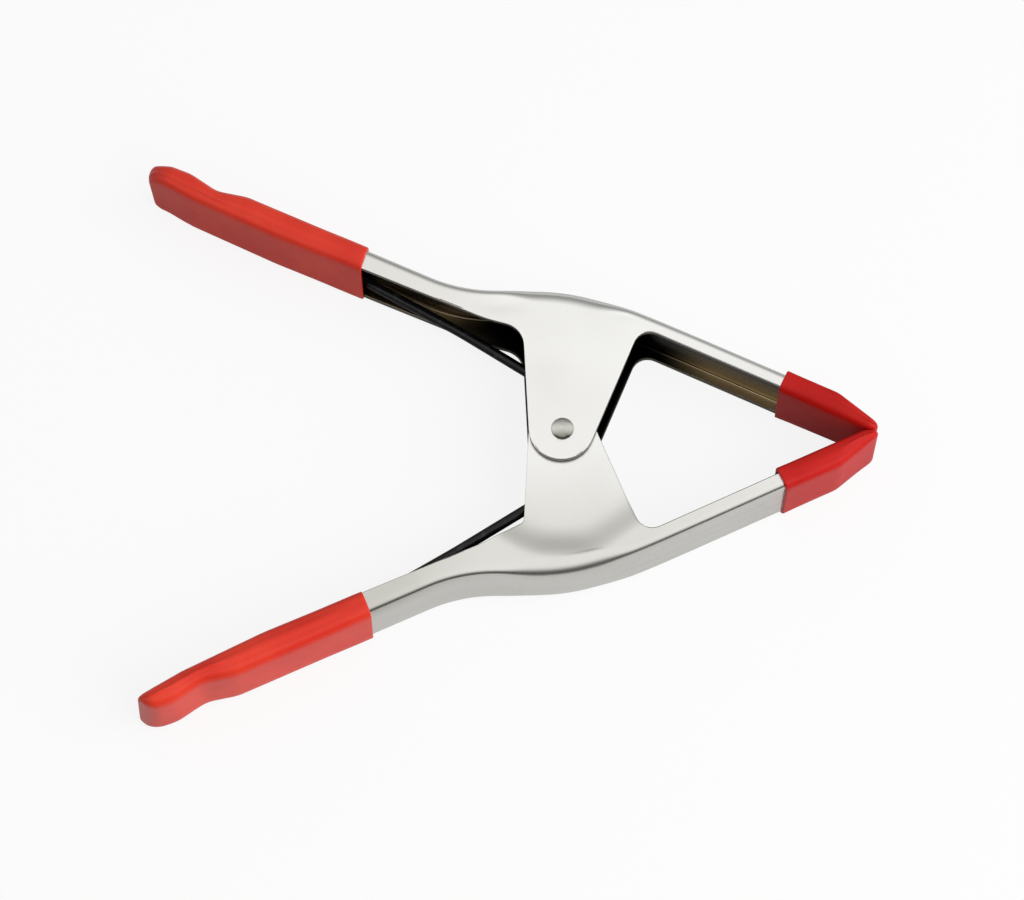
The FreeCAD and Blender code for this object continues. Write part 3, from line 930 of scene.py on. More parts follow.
@dataclass
class SheetLines:
    """The lines that both arms and their sleeves are drawn from."""

    width: float = 19.3
    sheet: float = 1.5
    vinyl: float = 0.95
    handle_end_x: float = -108.9
    handle_edge_end: Corner = Corner(-20.55, 32.08, 40.0)
    handle_palm: Corner = Corner(-78.0, 57.36, 60.0)
    handle_heel: Corner = Corner(-101.5, 69.1, 8.0)
    handle_toe: Corner = Corner(-106.7, 72.65, 3.0)
    toe_rise: float = 0.25
    handle_taper: float = 2.9
    hidden_end: float = 1.3
    hidden_rise: float = 1.3
    hidden_end_rise: float = 0.5
    hidden_toe_radius: float = 1.5
    cover_start_x: float = -58.0
    cover_start_radius: float = 30.0
    jaw_edge_point: Corner = Corner(27.0, 26.85)
    jaw_pad_back: Corner = Corner(80.4, 1.6)
    jaw_taper: float = 22.2
    ear_radius: float = 8.7
    ear_shift: float = -0.25
    sleeve_toe_radius: float = 1.4
    tip_back_wall: float = 0.8
    tip_nose_x: float = 84.0
    tip_nose_radius: float = 2.4
    tip_pad_y: float = 0.05
    tip_pad_radius: float = 3.0
    tip_toe_radius: float = 1.4

    def web(self) -> RoundedLine:
        """The web's outer line, from past the handle's end to past the jaw's nose."""
        return RoundedLine([
            Corner(-118.0, 73.4),
            Corner(-106.4, 77.15, 4.0),
            Corner(-101.5, 75.13, 12.0),
            Corner(-94.1, 69.8, 10.0),
            Corner(-85.7, 68.0, 12.0),
            Corner(-25.65, 40.3, 42.0),
            Corner(1.8, 42.14, 55.0),
            Corner(22.8, 33.55, 200.0),
            Corner(73.3, 9.71, 8.0),
            Corner(86.9, -1.9),
        ])

    def handle_edge(self, hidden: bool = False) -> list[Corner]:
        """The flange's free edge along the handle, from its cut end to the bend below the ear.

        Args:
            hidden: Whether the edge draws back from the sleeve's grip and end where the sleeve covers it.

        Returns:
            The edge's corners.
        """
        end = Corner(self.handle_end_x, self.handle_toe.y + self.toe_rise)
        covered = [end, self.handle_toe, self.handle_heel, self.handle_palm]
        if hidden:
            end, toe, heel, palm = (corner._replace(y=corner.y + self.hidden_rise) for corner in covered)
            covered = [
                Corner(end.x + self.hidden_end, end.y + self.hidden_end_rise),
                Corner(toe.x + self.hidden_end, toe.y, self.hidden_toe_radius),
                heel,
                palm,
                Corner(*self.handle_foot(self.cover_start_x), self.cover_start_radius),
            ]
        return covered + [self.handle_edge_end]

    def handle_lines(self, form: HandleForm) -> tuple[RoundedLine, RoundedLine]:
        """A handle sleeve's back and grip lines, each from past its mouth round to past its end.

        Args:
            form: The sleeve's own sizes.

        Returns:
            The back line and the grip line.
        """
        end_x = self.handle_end_x - form.end_wall
        run_out, past = 10.0, 1.0
        web = self.web().corners[:6]
        web[0] = web[0]._replace(y=form.back_end_y)
        back = RoundedLine(web).offset(self.vinyl).corners
        grip = RoundedLine(self.handle_edge()).offset(-form.grip_wall).corners
        grip[:3] = [Corner(form.heel.x - run_out, form.heel.y + run_out * form.heel_rise), form.heel]
        back_corner, grip_corner = (
            meet(chain[0], step_between(chain[0], chain[1]), (end_x, 0.0), (0.0, 1.0))
            for chain in (back, grip))
        back[:1] = [Corner(end_x, grip_corner[1] - past), Corner(*back_corner, form.end_radius)]
        grip[:1] = [Corner(end_x, back_corner[1] + past), Corner(*grip_corner, self.sleeve_toe_radius)]
        return RoundedLine(back).reversed(), RoundedLine(grip).reversed()

    def tip_lines(self, grip_wall: float) -> tuple[RoundedLine, RoundedLine]:
        """A jaw tip's back and grip lines, each from past its mouth round to past its nose.

        Args:
            grip_wall: The vinyl's thickness over the flange's free edge.

        Returns:
            The back line and the grip line.
        """
        nose_x, pad_y = self.tip_nose_x, self.tip_pad_y
        back = RoundedLine(self.web().corners[-3:]).offset(self.tip_back_wall).corners
        grip = RoundedLine([self.jaw_edge_point, self.jaw_pad_back]).offset(-grip_wall).corners
        nose = meet(back[1], step_between(back[1], back[2]), (nose_x, 0.0), (0.0, 1.0))
        pad = meet(grip[0], step_between(grip[0], grip[1]), (0.0, pad_y), (1.0, 0.0))
        return (
            RoundedLine([back[0], back[1], Corner(*nose, self.tip_nose_radius), Corner(nose_x, pad_y - 1.0)]),
            RoundedLine([grip[0], Corner(*pad, self.tip_pad_radius),
                         Corner(nose_x, pad_y, self.tip_toe_radius), Corner(nose_x, pad_y + 3.0)]),
        )

    def handle_foot(self, mouth_x: float) -> tuple[float, float]:
        """Where a handle sleeve's mouth crosses the flange's free edge."""
        return at_x(self.handle_palm, self.handle_edge_end, mouth_x)

    def jaw_foot(self, mouth_x: float) -> tuple[float, float]:
        """Where a jaw tip's mouth crosses the flange's free edge."""
        return at_x(self.jaw_edge_point, self.jaw_pad_back, mouth_x)


@dataclass(frozen=True)
class Dent:
    """A shallow dent in a flange: its middle, how far it reaches along x and y, and its depth there."""

    x: float
    y: float
    reach_x: float
    reach_y: float
    deepest: float

    def depth(self, x: float, y: float) -> float:
        """How far the flange lies inside its plane at (x, y)."""
        away = ((x - self.x) / self.reach_x) ** 2 + ((y - self.y) / self.reach_y) ** 2
        return self.deepest * math.exp(-away)


@dataclass(frozen=True)
class Joggle:
    """The soft step that brings a flange inwards below a top line and between two slanting sides."""

    step: float = 1.6
    top: float = 36.3
    half_width: float = 8.6
    falls: Span = (31.0, 38.0)
    run: float = 12.0
    onset: float = 0.6
    softness: float = 1.1

    def depth(self, x: float, y: float) -> float:
        """How far the flange lies inside its plane.

        Args:
            x: The place along the arm.
            y: The place across it, from the rivet towards the web.

        Returns:
            The depth at that place.
        """
        handle_fall, jaw_fall = (math.radians(angle) for angle in self.falls)
        below_top = self.top - y
        insides = (
            below_top,
            (x + self.half_width) * math.sin(handle_fall) + below_top * math.cos(handle_fall),
            (self.half_width - x) * math.sin(jaw_fall) + below_top * math.cos(jaw_fall),
        )
        lowest = min(insides)
        spread = sum(math.exp((lowest - value) / self.softness) for value in insides)
        inside = lowest - self.softness * math.log(spread)
        gone = min(max((inside + self.onset) / self.run, 0.0), 1.0)
        return self.step * (1 - (1 - gone) ** 3 * (1 + 3 * gone))


@dataclass
class ChannelArm:
    """One arm: a sheet bent to a channel, whose flanges run down into two ears round the rivet."""

    name: str
    side: Side
    lines: SheetLines
    ear_corner: tuple[float, float]
    ear_fillet: float
    hole_radius: float
    reliefs: tuple[Dent | Joggle, ...]
    jaw_fillet: float = 4.4
    nose_x: float = 80.0
    bend_radius: float = 2.2
    ear_bend_growth: float = 2.3
    ear_middle_x: float = 1.0
    ear_reach: float = 20.0
    ear_fade: float = 14.0
    jaw_bend_loss: float = 0.3
    jaw_bend_span: Span = (20.0, 40.0)
    nose_bend_loss: float = 0.6
    nose_start_x: float = 66.0
    edge_roll: float = 0.22
    inner_roll: float = 0.2
    columns: tuple[int, int, int] = (90, 30, 52)
    web_rows: int = 5
    bend_rows: int = 7
    flange_rows: int = 16
    ear_rows: int = 24
    ear_foot_angles: Span = (225.0, 300.0)
    crowd: float = 0.72
    ring_reach: float = 2.4
    ring_rounds: int = 6

    def free_line(self) -> tuple[RoundedLine, tuple[float, float], tuple[float, float]]:
        """The flange's free edge and ear from the handle's end to the jaw's pad.

        Returns:
            The line, and the unrounded corners where the ear leaves the handle and the jaw.
        """
        lines = self.lines
        jaw_way = unit(90 - lines.jaw_taper)
        handle_way = unit(90 + lines.handle_taper)
        jaw_foot = (lines.ear_shift + jaw_way[1] * lines.ear_radius, -jaw_way[0] * lines.ear_radius)
        handle_foot = (lines.ear_shift - handle_way[1] * lines.ear_radius, handle_way[0] * lines.ear_radius)
        flare = step_between(self.ear_corner, lines.handle_edge_end)
        pad_way = step_between(lines.jaw_edge_point, lines.jaw_pad_back)
        top = meet(handle_foot, handle_way, self.ear_corner, flare)
        apex = meet(handle_foot, handle_way, jaw_foot, jaw_way)
        jaw_corner = meet(jaw_foot, jaw_way, lines.jaw_edge_point, pad_way)
        line = RoundedLine(lines.handle_edge(hidden=True) + [
            Corner(*top, self.ear_fillet),
            Corner(*apex, lines.ear_radius),
            Corner(*jaw_corner, self.jaw_fillet),
            lines.jaw_pad_back,
        ])
        return line, top, jaw_corner

    def bend_at(self, x: float) -> float:
        """The outer bend radius between web and flange, fuller over the ear and finer towards the nose.

        Args:
            x: The place along the arm.

        Returns:
            The radius there.
        """
        jaw_start, jaw_end = self.jaw_bend_span
        over_ear = smooth_step((self.ear_reach - abs(x - self.ear_middle_x)) / self.ear_fade)
        to_nose = smooth_step((x - self.nose_start_x) / (self.nose_x - self.nose_start_x))
        along_jaw = smooth_step((x - jaw_start) / (jaw_end - jaw_start))
        return (self.bend_radius + self.ear_bend_growth * over_ear - self.nose_bend_loss * to_nose
                - self.jaw_bend_loss * along_jaw)

    def lift(self, flat: np.ndarray) -> Vector:
        """Sets a point of the flange's outline on the upper flange."""
        depth = sum(relief.depth(flat[0], flat[1]) for relief in self.reliefs)
        return Vector((flat[0], flat[1], self.lines.width - depth))

    def section(self, web: RoundedLine, along: float) -> list[Vector]:
        """The arm's outer line across the web and round the upper bend.

        Args:
            web: The web's line.
            along: The distance along it.

        Returns:
            Points from the middle of the web to where the flange starts.
        """
        point, outward = web.point(along), web.outward(along)
        bend = self.bend_at(point[0])
        middle, edge = self.lines.width / 2, self.lines.width - bend
        places = []
        for step in range(self.web_rows + 1):
            places.append(Vector((*point, middle + (edge - middle) * (step / self.web_rows))))
        for step in range(1, self.bend_rows + 1):
            angle = math.pi / 2 * step / self.bend_rows
            place = point - outward * bend * (1 - math.cos(angle))
            places.append(Vector((*place, edge + bend * math.sin(angle))))
        return places

    def straight(self, start: np.ndarray, end: np.ndarray) -> np.ndarray:
        """Points straight down the flange."""
        return np.linspace(start, end, self.flange_rows + 1)

    def flange(
        self,
        free: RoundedLine,
        ear_start: float,
        ear_end: float,
        tops: np.ndarray,
    ) -> tuple[np.ndarray, np.ndarray, np.ndarray]:
        """Spreads points over the flange.

        Args:
            free: The free edge's line.
            ear_start: The distance along it where the ear leaves the handle.
            ear_end: The distance along it where the ear meets the jaw.
            tops: The points where the flange leaves the bend.

        Returns:
            The points of the handle, the ear and the jaw, by row and column.
        """
        handle_count, ear_count, jaw_count = self.columns
        jaw_start = handle_count + ear_count
        handle_tops = tops[:handle_count + 1]
        ear_tops = tops[handle_count:jaw_start + 1]
        jaw_tops = tops[jaw_start:]
        ear_feet = [
            free.nearest(self.lines.ear_shift + self.lines.ear_radius * unit(angle)[0],
                         self.lines.ear_radius * unit(angle)[1])
            for angle in self.ear_foot_angles]
        left, right = (
            np.concatenate([self.straight(top, free.point(stop)),
                            free.spread(foot, stop, self.ear_rows, self.crowd)[::-1][1:]])
            for top, foot, stop in zip((ear_tops[0], ear_tops[-1]), ear_feet, (ear_start, ear_end)))
        joint = self.flange_rows + 1
        handle = coons(handle_tops, free.spread(0.0, ear_start, handle_count, self.crowd),
                       self.straight(handle_tops[0], free.point(0.0)), left[:joint])
        ear = coons(ear_tops, free.spread(*ear_feet, ear_count), left, right)
        jaw = coons(jaw_tops, free.spread(free.length, ear_end, jaw_count, self.crowd)[::-1],
                    right[:joint], self.straight(jaw_tops[-1], free.point(free.length)))
        return handle, ear, jaw

    def half_surface(self) -> bmesh.types.BMesh:
        """The outer surface from the middle of the web over the upper bend, flange and ear.

        Returns:
            The surface as a new mesh.
        """
        web = self.lines.web()
        free, ear_top, jaw_corner = self.free_line()
        ear_start, ear_end = free.nearest(*ear_top), free.nearest(*jaw_corner)
        stops = [
            web.at_x(self.lines.handle_end_x + self.lines.hidden_end),
            web.nearest(*free.point(ear_start)),
            web.nearest(*free.point(ear_end)),
            web.at_x(self.nose_x),
        ]
        alongs: list[float] = []
        for start, end, count in zip(stops, stops[1:], self.columns):
            alongs += list(np.linspace(start, end, count + 1))[bool(alongs):]
        tops = np.array([web.point(along) - web.outward(along) * self.bend_at(web.point(along)[0])
                         for along in alongs])
        handle, ear, jaw = self.flange(free, ear_start, ear_end, tops)
        rows = list(zip(*(self.section(web, along) for along in alongs)))
        for parts in zip(handle[1:], ear[1:], jaw[1:]):
            rows.append([self.lift(point) for point in (*parts[0], *parts[1][1:], *parts[2][1:])])

        mesh = bmesh.new()
        row = MeshShop.row(mesh, rows[0])
        for places in rows[1:]:
            row = MeshShop.extrude_row(mesh, row, places)
        row = row[self.columns[0]:self.columns[0] + self.columns[1] + 1]
        for points in ear[self.flange_rows + 1:]:
            row = MeshShop.extrude_row(mesh, row, [self.lift(point) for point in points])
        return mesh

    def punch(self, mesh: bmesh.types.BMesh) -> None:
        """Opens the rivet hole in the ear and draws the faces round it into rings.

        Args:
            mesh: The half surface.
        """
        def from_axis(place: Vector) -> float:
            """How far a place lies from the rivet's axis."""
            return math.hypot(place.x, place.y)

        punched = [face for face in mesh.faces if from_axis(face.calc_center_median()) < self.hole_radius]
        rim = {vertex for face in punched for vertex in face.verts}
        bmesh.ops.delete(mesh, geom=punched, context="FACES")
        rim = [vertex for vertex in rim if vertex.is_valid]
        for vertex in rim:
            scale = self.hole_radius / from_axis(vertex.co)
            vertex.co.x *= scale
            vertex.co.y *= scale
        reach = self.ring_reach * self.hole_radius
        near = [vertex for vertex in mesh.verts
                if vertex not in rim and from_axis(vertex.co) < reach and vertex.co.z > 0]
        for _ in range(self.ring_rounds):
            bmesh.ops.smooth_vert(mesh, verts=near, factor=0.5,
                                  use_axis_x=True, use_axis_y=True, use_axis_z=False)

    def build(self, bench: Bench, finishes: Sequence[bpy.types.Material]) -> bpy.types.Object:
        """Builds the arm as a piece.

        Args:
            bench: Sets it in the row frame.
            finishes: For its outer faces, its inner faces and its cut edges.

        Returns:
            The piece.
        """
        mesh = self.half_surface()
        self.punch(mesh)
        to_middle = Matrix.Translation((0.0, 0.0, -self.lines.width / 2))
        bmesh.ops.mirror(mesh, geom=mesh.verts[:] + mesh.edges[:] + mesh.faces[:],
                         matrix=to_middle, axis="Z", merge_dist=WELD)
        bmesh.ops.remove_doubles(mesh, verts=mesh.verts[:], dist=WELD)
        bmesh.ops.recalc_face_normals(mesh, faces=mesh.faces[:])
        highest = max(mesh.faces, key=lambda face: face.calc_center_median().z + face.calc_center_median().y)
        if highest.normal.z < 0:
            bmesh.ops.reverse_faces(mesh, faces=mesh.faces[:])
        MeshShop.thicken(mesh, self.lines.sheet, inside=1, rim=2)
        MeshShop.soften_rims(mesh, rim=2, outside=self.edge_roll, inside=self.inner_roll)
        piece = bench.place(mesh, self.name, self.side, "plated_steel", finishes)
        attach(piece, self.side.body)
        return piece


@dataclass
class Sleeve:
    """A vinyl sleeve over one end of an arm, closed at the far end and open at its mouth."""

    name: str
    side: Side
    lines: SheetLines
    outlines: tuple[RoundedLine, RoundedLine]
    mouth_foot: tuple[float, float]
    mouth_way: tuple[float, float]
    back_edge: float
    grip_edges: Triple
    grip_swell: float
    end_edges: Span
    crown: float
    end_lean: float
    stations: int
    crown_run: float = 0.25
    lip: float = 0.3
    lip_steps: int = 4
    inner_chamfer: float = 0.1
    lean_reach: float = 12.0
    least_round: float = 0.02
    round_limits: Triple = (0.5, 0.48, 0.48)
    end_draw: float = 0.55
    end_draw_limit: float = 1.6
    arc_steps: int = 6
    side_steps: int = 10
    flat_steps: int = 8
    samples: int = 1200
    touching: float = 0.06
    crowd: float = 0.6
    end_weld: float = 0.004
    end: tuple[np.ndarray, np.ndarray] = field(init=False)

    def pairs(self) -> tuple[np.ndarray, np.ndarray]:
        """Facing points along the back and the grip, and notes where the end face lies.

        Returns:
            The points on the back and those on the grip, from the mouth to where the two lines meet.
        """
        half, nearby = self.samples // 2, 0.2
        back_end, grip_end = (line.spread(0.0, line.length, self.samples)[half:] for line in self.outlines)
        gaps = np.linalg.norm(back_end[:, None, :] - grip_end[None, :, :], axis=2)
        shared = np.argwhere(gaps < gaps.min() + self.touching)
        ends = [line.length * (half + index) / self.samples
                for line, index in zip(self.outlines, shared[len(shared) // 2])]
        back, grip = (
            line.spread(line.crossing(self.mouth_foot, self.mouth_way), end, self.stations, self.crowd)
            for line, end in zip(self.outlines, ends))
        meeting = (back[-1] + grip[-1]) / 2
        back[-1] = grip[-1] = meeting
        line = self.outlines[0]
        face = line.point(ends[0] + nearby) - line.point(ends[0] - nearby)
        self.end = meeting, np.array((face[1], -face[0])) / np.linalg.norm(face)
        return back, grip

    def from_end(self, place: np.ndarray) -> float:
        """How far a place lies from the sleeve's end face."""
        return abs(float(np.dot(place - self.end[0], self.end[1])))

    def loop(self, corners: Sequence[tuple[float, float, float]], crown: float) -> list[tuple[float, float]]:
        """A closed outline with four round corners, whose two upright sides swell.

        Args:
            corners: Each corner's centre and radius, anticlockwise from the upper right one.
            crown: How far the sides swell.

        Returns:
            The outline's points, anticlockwise.
        """
        arcs = []
        turns = [90 * step / self.arc_steps for step in range(self.arc_steps + 1)]
        for quarter, (across, up, radius) in enumerate(corners):
            angles = [math.radians(90 * quarter + turn) for turn in turns]
            arcs.append([(across + radius * math.cos(angle), up + radius * math.sin(angle))
                         for angle in angles])
        flat = self.flat_steps, 0.0
        runs = (flat, (self.side_steps, -crown), flat, (self.side_steps, crown))
        points: list[tuple[float, float]] = []
        for arc, following, (steps, swell) in zip(arcs, arcs[1:] + arcs[:1], runs):
            points += arc
            for step in range(1, steps):
                gone = step / steps
                across, up = (a + (b - a) * gone for a, b in zip(arc[-1], following[0]))
                points.append((across + swell * 4 * gone * (1 - gone), up))
        return points

    def ring(self, back: np.ndarray, grip: np.ndarray, inset: float) -> list[Vector]:
        """The sleeve's cross-section between a point on its back and one on its grip.

        Args:
            back: The point on the back.
            grip: The facing point on the grip.
            inset: How far inside the sleeve's surface the ring lies.

        Returns:
            The ring's points.
        """
        height = float(np.linalg.norm(back - grip))
        rise = (back - grip) / max(height, 1e-9)
        to_end = self.from_end((back + grip) / 2)
        share = 1 - to_end / self.from_end(np.array(self.mouth_foot))
        crown = self.crown * smooth_step(share / self.crown_run)
        rounded = [edge - math.sqrt(edge ** 2 - max(edge - to_end, 0.0) ** 2) for edge in self.end_edges]
        half_width = self.lines.width / 2 + self.lines.vinyl
        top, bottom = (half_width - amount - inset - crown for amount in rounded)
        low, high = inset, height - inset
        grip_edge = float(np.interp(share, (0.0, 0.5, 1.0), self.grip_edges))
        drawn_in = self.end_draw * min(max(rounded), self.end_draw_limit) + inset
        edges = self.back_edge, grip_edge * self.grip_swell, grip_edge
        back_round, grip_round, low_round = (
            max(min(edge - drawn_in, (high - low) * limit), self.least_round)
            for edge, limit in zip(edges, self.round_limits))
        if high - low < 2 * self.least_round:
            low = high = (low + high) / 2
            back_round = grip_round = low_round = crown = 0.0
        corners = [
            (top - back_round, high - back_round, back_round),
            (back_round - bottom, high - back_round, back_round),
            (low_round - bottom, low + low_round, low_round),
            (top - grip_round, low + grip_round, grip_round),
        ]
        lean = self.end_lean * smooth_step(1 - to_end / self.lean_reach)
        places = []
        for across, up in self.loop(corners, crown):
            spot = grip + rise * up
            below_top = 0.5 - across / self.lines.width
            places.append(Vector((spot[0] + lean * below_top, spot[1], self.lines.width / 2 + across)))
        return places

    def build(self, bench: Bench, finish: bpy.types.Material) -> bpy.types.Object:
        """Builds the sleeve as a piece.

        Args:
            bench: Sets it in the row frame.
            finish: Its vinyl.

        Returns:
            The piece.
        """
        back, grip = self.pairs()
        wall = self.lines.vinyl
        inner_depth = 3 * self.stations // 5
        out_way = (back[0] - back[1]) / np.linalg.norm(back[0] - back[1])
        mouth = [(wall, -self.inner_chamfer), (wall - self.inner_chamfer, 0.0)]
        for step in range(self.lip_steps + 1):
            angle = math.pi / 2 * step / self.lip_steps
            mouth.append((self.lip * (1 - math.sin(angle)), -self.lip * (1 - math.cos(angle))))
        rings = [self.ring(back[index], grip[index], wall) for index in range(inner_depth, 0, -1)]
        rings += [self.ring(back[0] + out_way * shift, grip[0] + out_way * shift, inset)
                  for inset, shift in mouth]
        rings += [self.ring(back[index], grip[index], 0.0) for index in range(1, self.stations + 1)]

        mesh = bmesh.new()
        row = MeshShop.row(mesh, rings[0], closed=True)
        bmesh.ops.contextual_create(mesh, geom=row)
        for ring in rings[1:]:
            row = MeshShop.extrude_row(mesh, row, ring, closed=True)
        bmesh.ops.remove_doubles(mesh, verts=mesh.verts[:], dist=self.end_weld)
        bmesh.ops.dissolve_degenerate(mesh, dist=WELD, edges=mesh.edges[:])
        piece = bench.place(mesh, self.name, self.side, "vinyl", [finish])
        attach(piece, self.side.body)
        return piece


@dataclass
class Rivet:
    """The headed pin that both arms turn on."""

    channel: float
    name: str = "pivot_rivet"
    side: Side = Side.OUTER
    shank: float = 2.2
    head: float = 3.05
    heights: Span = (1.4, 0.8)
    rim: float = 0.16
    rim_roll: float = 0.08
    dome_steps: int = 12
    steps: int = 72

    def half_profile(self, height: float) -> list[tuple[float, float]]:
        """The outline of one head.

        Args:
            height: The head's height over the flange.

        Returns:
            Radii and heights over the flange, from the top of the dome to the shank.
        """
        points = [(0.0, height)]
        for step in range(1, self.dome_steps + 1):
            angle = math.pi / 2 * step / self.dome_steps
            points.append((self.head * math.sin(angle), self.rim + (height - self.rim) * math.cos(angle)))
        points += [
            (self.head, self.rim_roll),
            (self.head - self.rim_roll / 2, 0.0),
            (self.shank, 0.0),
        ]
        return points

    def build(self, bench: Bench, finish: bpy.types.Material) -> bpy.types.Object:
        """Builds the rivet as a piece.

        Args:
            bench: Sets it in the row frame.
            finish: Its steel.

        Returns:
            The piece.
        """
        mesh = bmesh.new()
        upper, lower = (self.half_profile(height) for height in self.heights)
        top = [Vector((radius, 0.0, self.channel + height)) for radius, height in upper]
        bottom = [Vector((radius, 0.0, -height)) for radius, height in lower]
        MeshShop.row(mesh, top + bottom[::-1])
        bmesh.ops.spin(mesh, geom=mesh.verts[:] + mesh.edges[:], cent=(0.0, 0.0, 0.0), axis=(0.0, 0.0, 1.0),
                       angle=2 * math.pi, steps=self.steps, use_merge=True)
        bmesh.ops.remove_doubles(mesh, verts=mesh.verts[:], dist=WELD)
        piece = bench.place(mesh, self.name, self.side, "rivet_steel", [finish])
        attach(piece, self.side.body)
        return piece


@dataclass
class TorsionSpring:
    """The coil round the rivet and its two legs, bent from one wire."""

    lines: SheetLines
    name: str = "torsion_spring"
    side: Side = Side.OUTER
    wire: float = 2.75
    coil_radius: float = 7.3
    turns: int = 3
    pitch: float = 3.25
    ramp: float = 0.25
    outer_bends: tuple[Corner, Corner] = (Corner(-5.0, 19.5, 25.0), Corner(-27.4, 34.23, 120.0))
    inner_bends: tuple[Corner, Corner] = (Corner(-5.0, 18.15, 25.0), Corner(-28.0, 33.1, 120.0))
    seats_x: Span = (-56.8, -61.0)
    seat_gap: float = 0.1
    seat_radius: float = 60.0
    foot_length: float = 9.5
    foot_roll: float = 0.35
    spacing: float = 0.7
    sides: int = 24
    blend_margin: float = 2e-5

    def leg(self, bends: tuple[Corner, Corner], seat_x: float) -> np.ndarray:
        """A leg's points from the coil to its foot along the web, on the outer arm's side.

        Args:
            bends: The two bends between the coil and the web.
            seat_x: Where the leg reaches the web.

        Returns:
            The points, evenly spaced.
        """
        knee, shoulder = self.lines.web().corners[4:6]
        to_wire = self.lines.sheet + self.wire / 2 + self.seat_gap
        seat = RoundedLine([knee, shoulder]).offset(-to_wire).corners
        way = np.array(step_between(seat[0], seat[1]))
        way /= np.linalg.norm(way)
        touch = meet(seat[0], tuple(way), (seat_x, 0.0), (0.0, 1.0))
        foot = touch[0] - way[0] * self.foot_length, touch[1] - way[1] * self.foot_length
        first = bends[0]
        reach = math.hypot(first.x, first.y)
        leaving = math.atan2(-first.y, -first.x) + math.asin(self.coil_radius / reach)
        length = math.sqrt(reach ** 2 - self.coil_radius ** 2)
        tangent = Corner(first.x + length * math.cos(leaving), first.y + length * math.sin(leaving))
        line = RoundedLine([tangent, *bends, Corner(*touch, self.seat_radius), Corner(*foot)])
        return line.spread(0.0, line.length, round(line.length / self.spacing))

    def fallen(self, within: float, flat: float) -> float:
        """How far the wire has fallen within one turn, as a share of the pitch.

        Args:
            within: The angle turned since the turn began.
            flat: The angle over which the wire stays level at first.

        Returns:
            0 to 1, with soft starts and ends.
        """
        share = max(within - flat, 0.0) / (2 * math.pi - flat)
        rest = min(share, 1 - share)
        eased = (rest ** 2 / (2 * self.ramp) if rest < self.ramp else rest - self.ramp / 2) / (1 - self.ramp)
        return eased if share < 0.5 else 1 - eased

    def route(self) -> list[Vector]:
        """The middle of the wire.

        Returns:
            Its points from the inner arm's foot round the coil to the outer arm's foot.
        """
        fall = self.pitch * self.turns
        top = (self.lines.width + fall) / 2
        bottom = top - fall
        inner_points = self.leg(self.inner_bends, self.seats_x[1]) * (1.0, -1.0)
        outer_points = self.leg(self.outer_bends, self.seats_x[0])
        start = math.atan2(inner_points[0][1], inner_points[0][0])
        flat = math.atan2(outer_points[0][1], outer_points[0][0]) - start
        whole = 2 * math.pi * self.turns + flat
        route = [Vector((*point, top)) for point in inner_points[::-1]]
        count = round(whole * self.coil_radius / self.spacing)
        for step in range(1, count):
            turned = whole * step / count
            turn, within = divmod(turned, 2 * math.pi)
            angle = start + turned
            route.append(Vector((self.coil_radius * math.cos(angle), self.coil_radius * math.sin(angle),
                                 top - self.pitch * (turn + self.fallen(within, flat)))))
        return route + [Vector((*point, bottom)) for point in outer_points]

    def build(self, bench: Bench, finish: bpy.types.Material) -> bpy.types.Object:
        """Builds the spring as a piece.

        Args:
            bench: Sets it in the row frame.
            finish: Its wire.

        Returns:
            The piece.
        """
        mesh = bmesh.new()
        route = self.route()
        upright = Vector((0.0, 0.0, 1.0))
        stations = []
        for index, place in enumerate(route):
            way = (route[min(index + 1, len(route) - 1)] - route[max(index - 1, 0)]).normalized()
            across = way.cross(upright).normalized()
            turned = Matrix((across, across.cross(way), way)).transposed().to_4x4()
            stations.append(Matrix.Translation(place) @ turned)
        rings = MeshShop.sweep(mesh, self.wire / 2, self.sides, stations)
        ends = []
        for ring in (rings[0], rings[-1]):
            made = bmesh.ops.contextual_create(mesh, geom=ring)["faces"]
            ends += list(made[0].edges)
        MeshShop.roll(mesh, ends, self.foot_roll)
        piece = bench.place(mesh, self.name, self.side, "spring_steel", [finish])
        middle = bench.flange_z + self.lines.width / 2 * MM
        half = (self.pitch * self.turns - self.wire) / 2 * MM - self.blend_margin
        middle - half
        middle + half
        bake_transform(piece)
        return piece


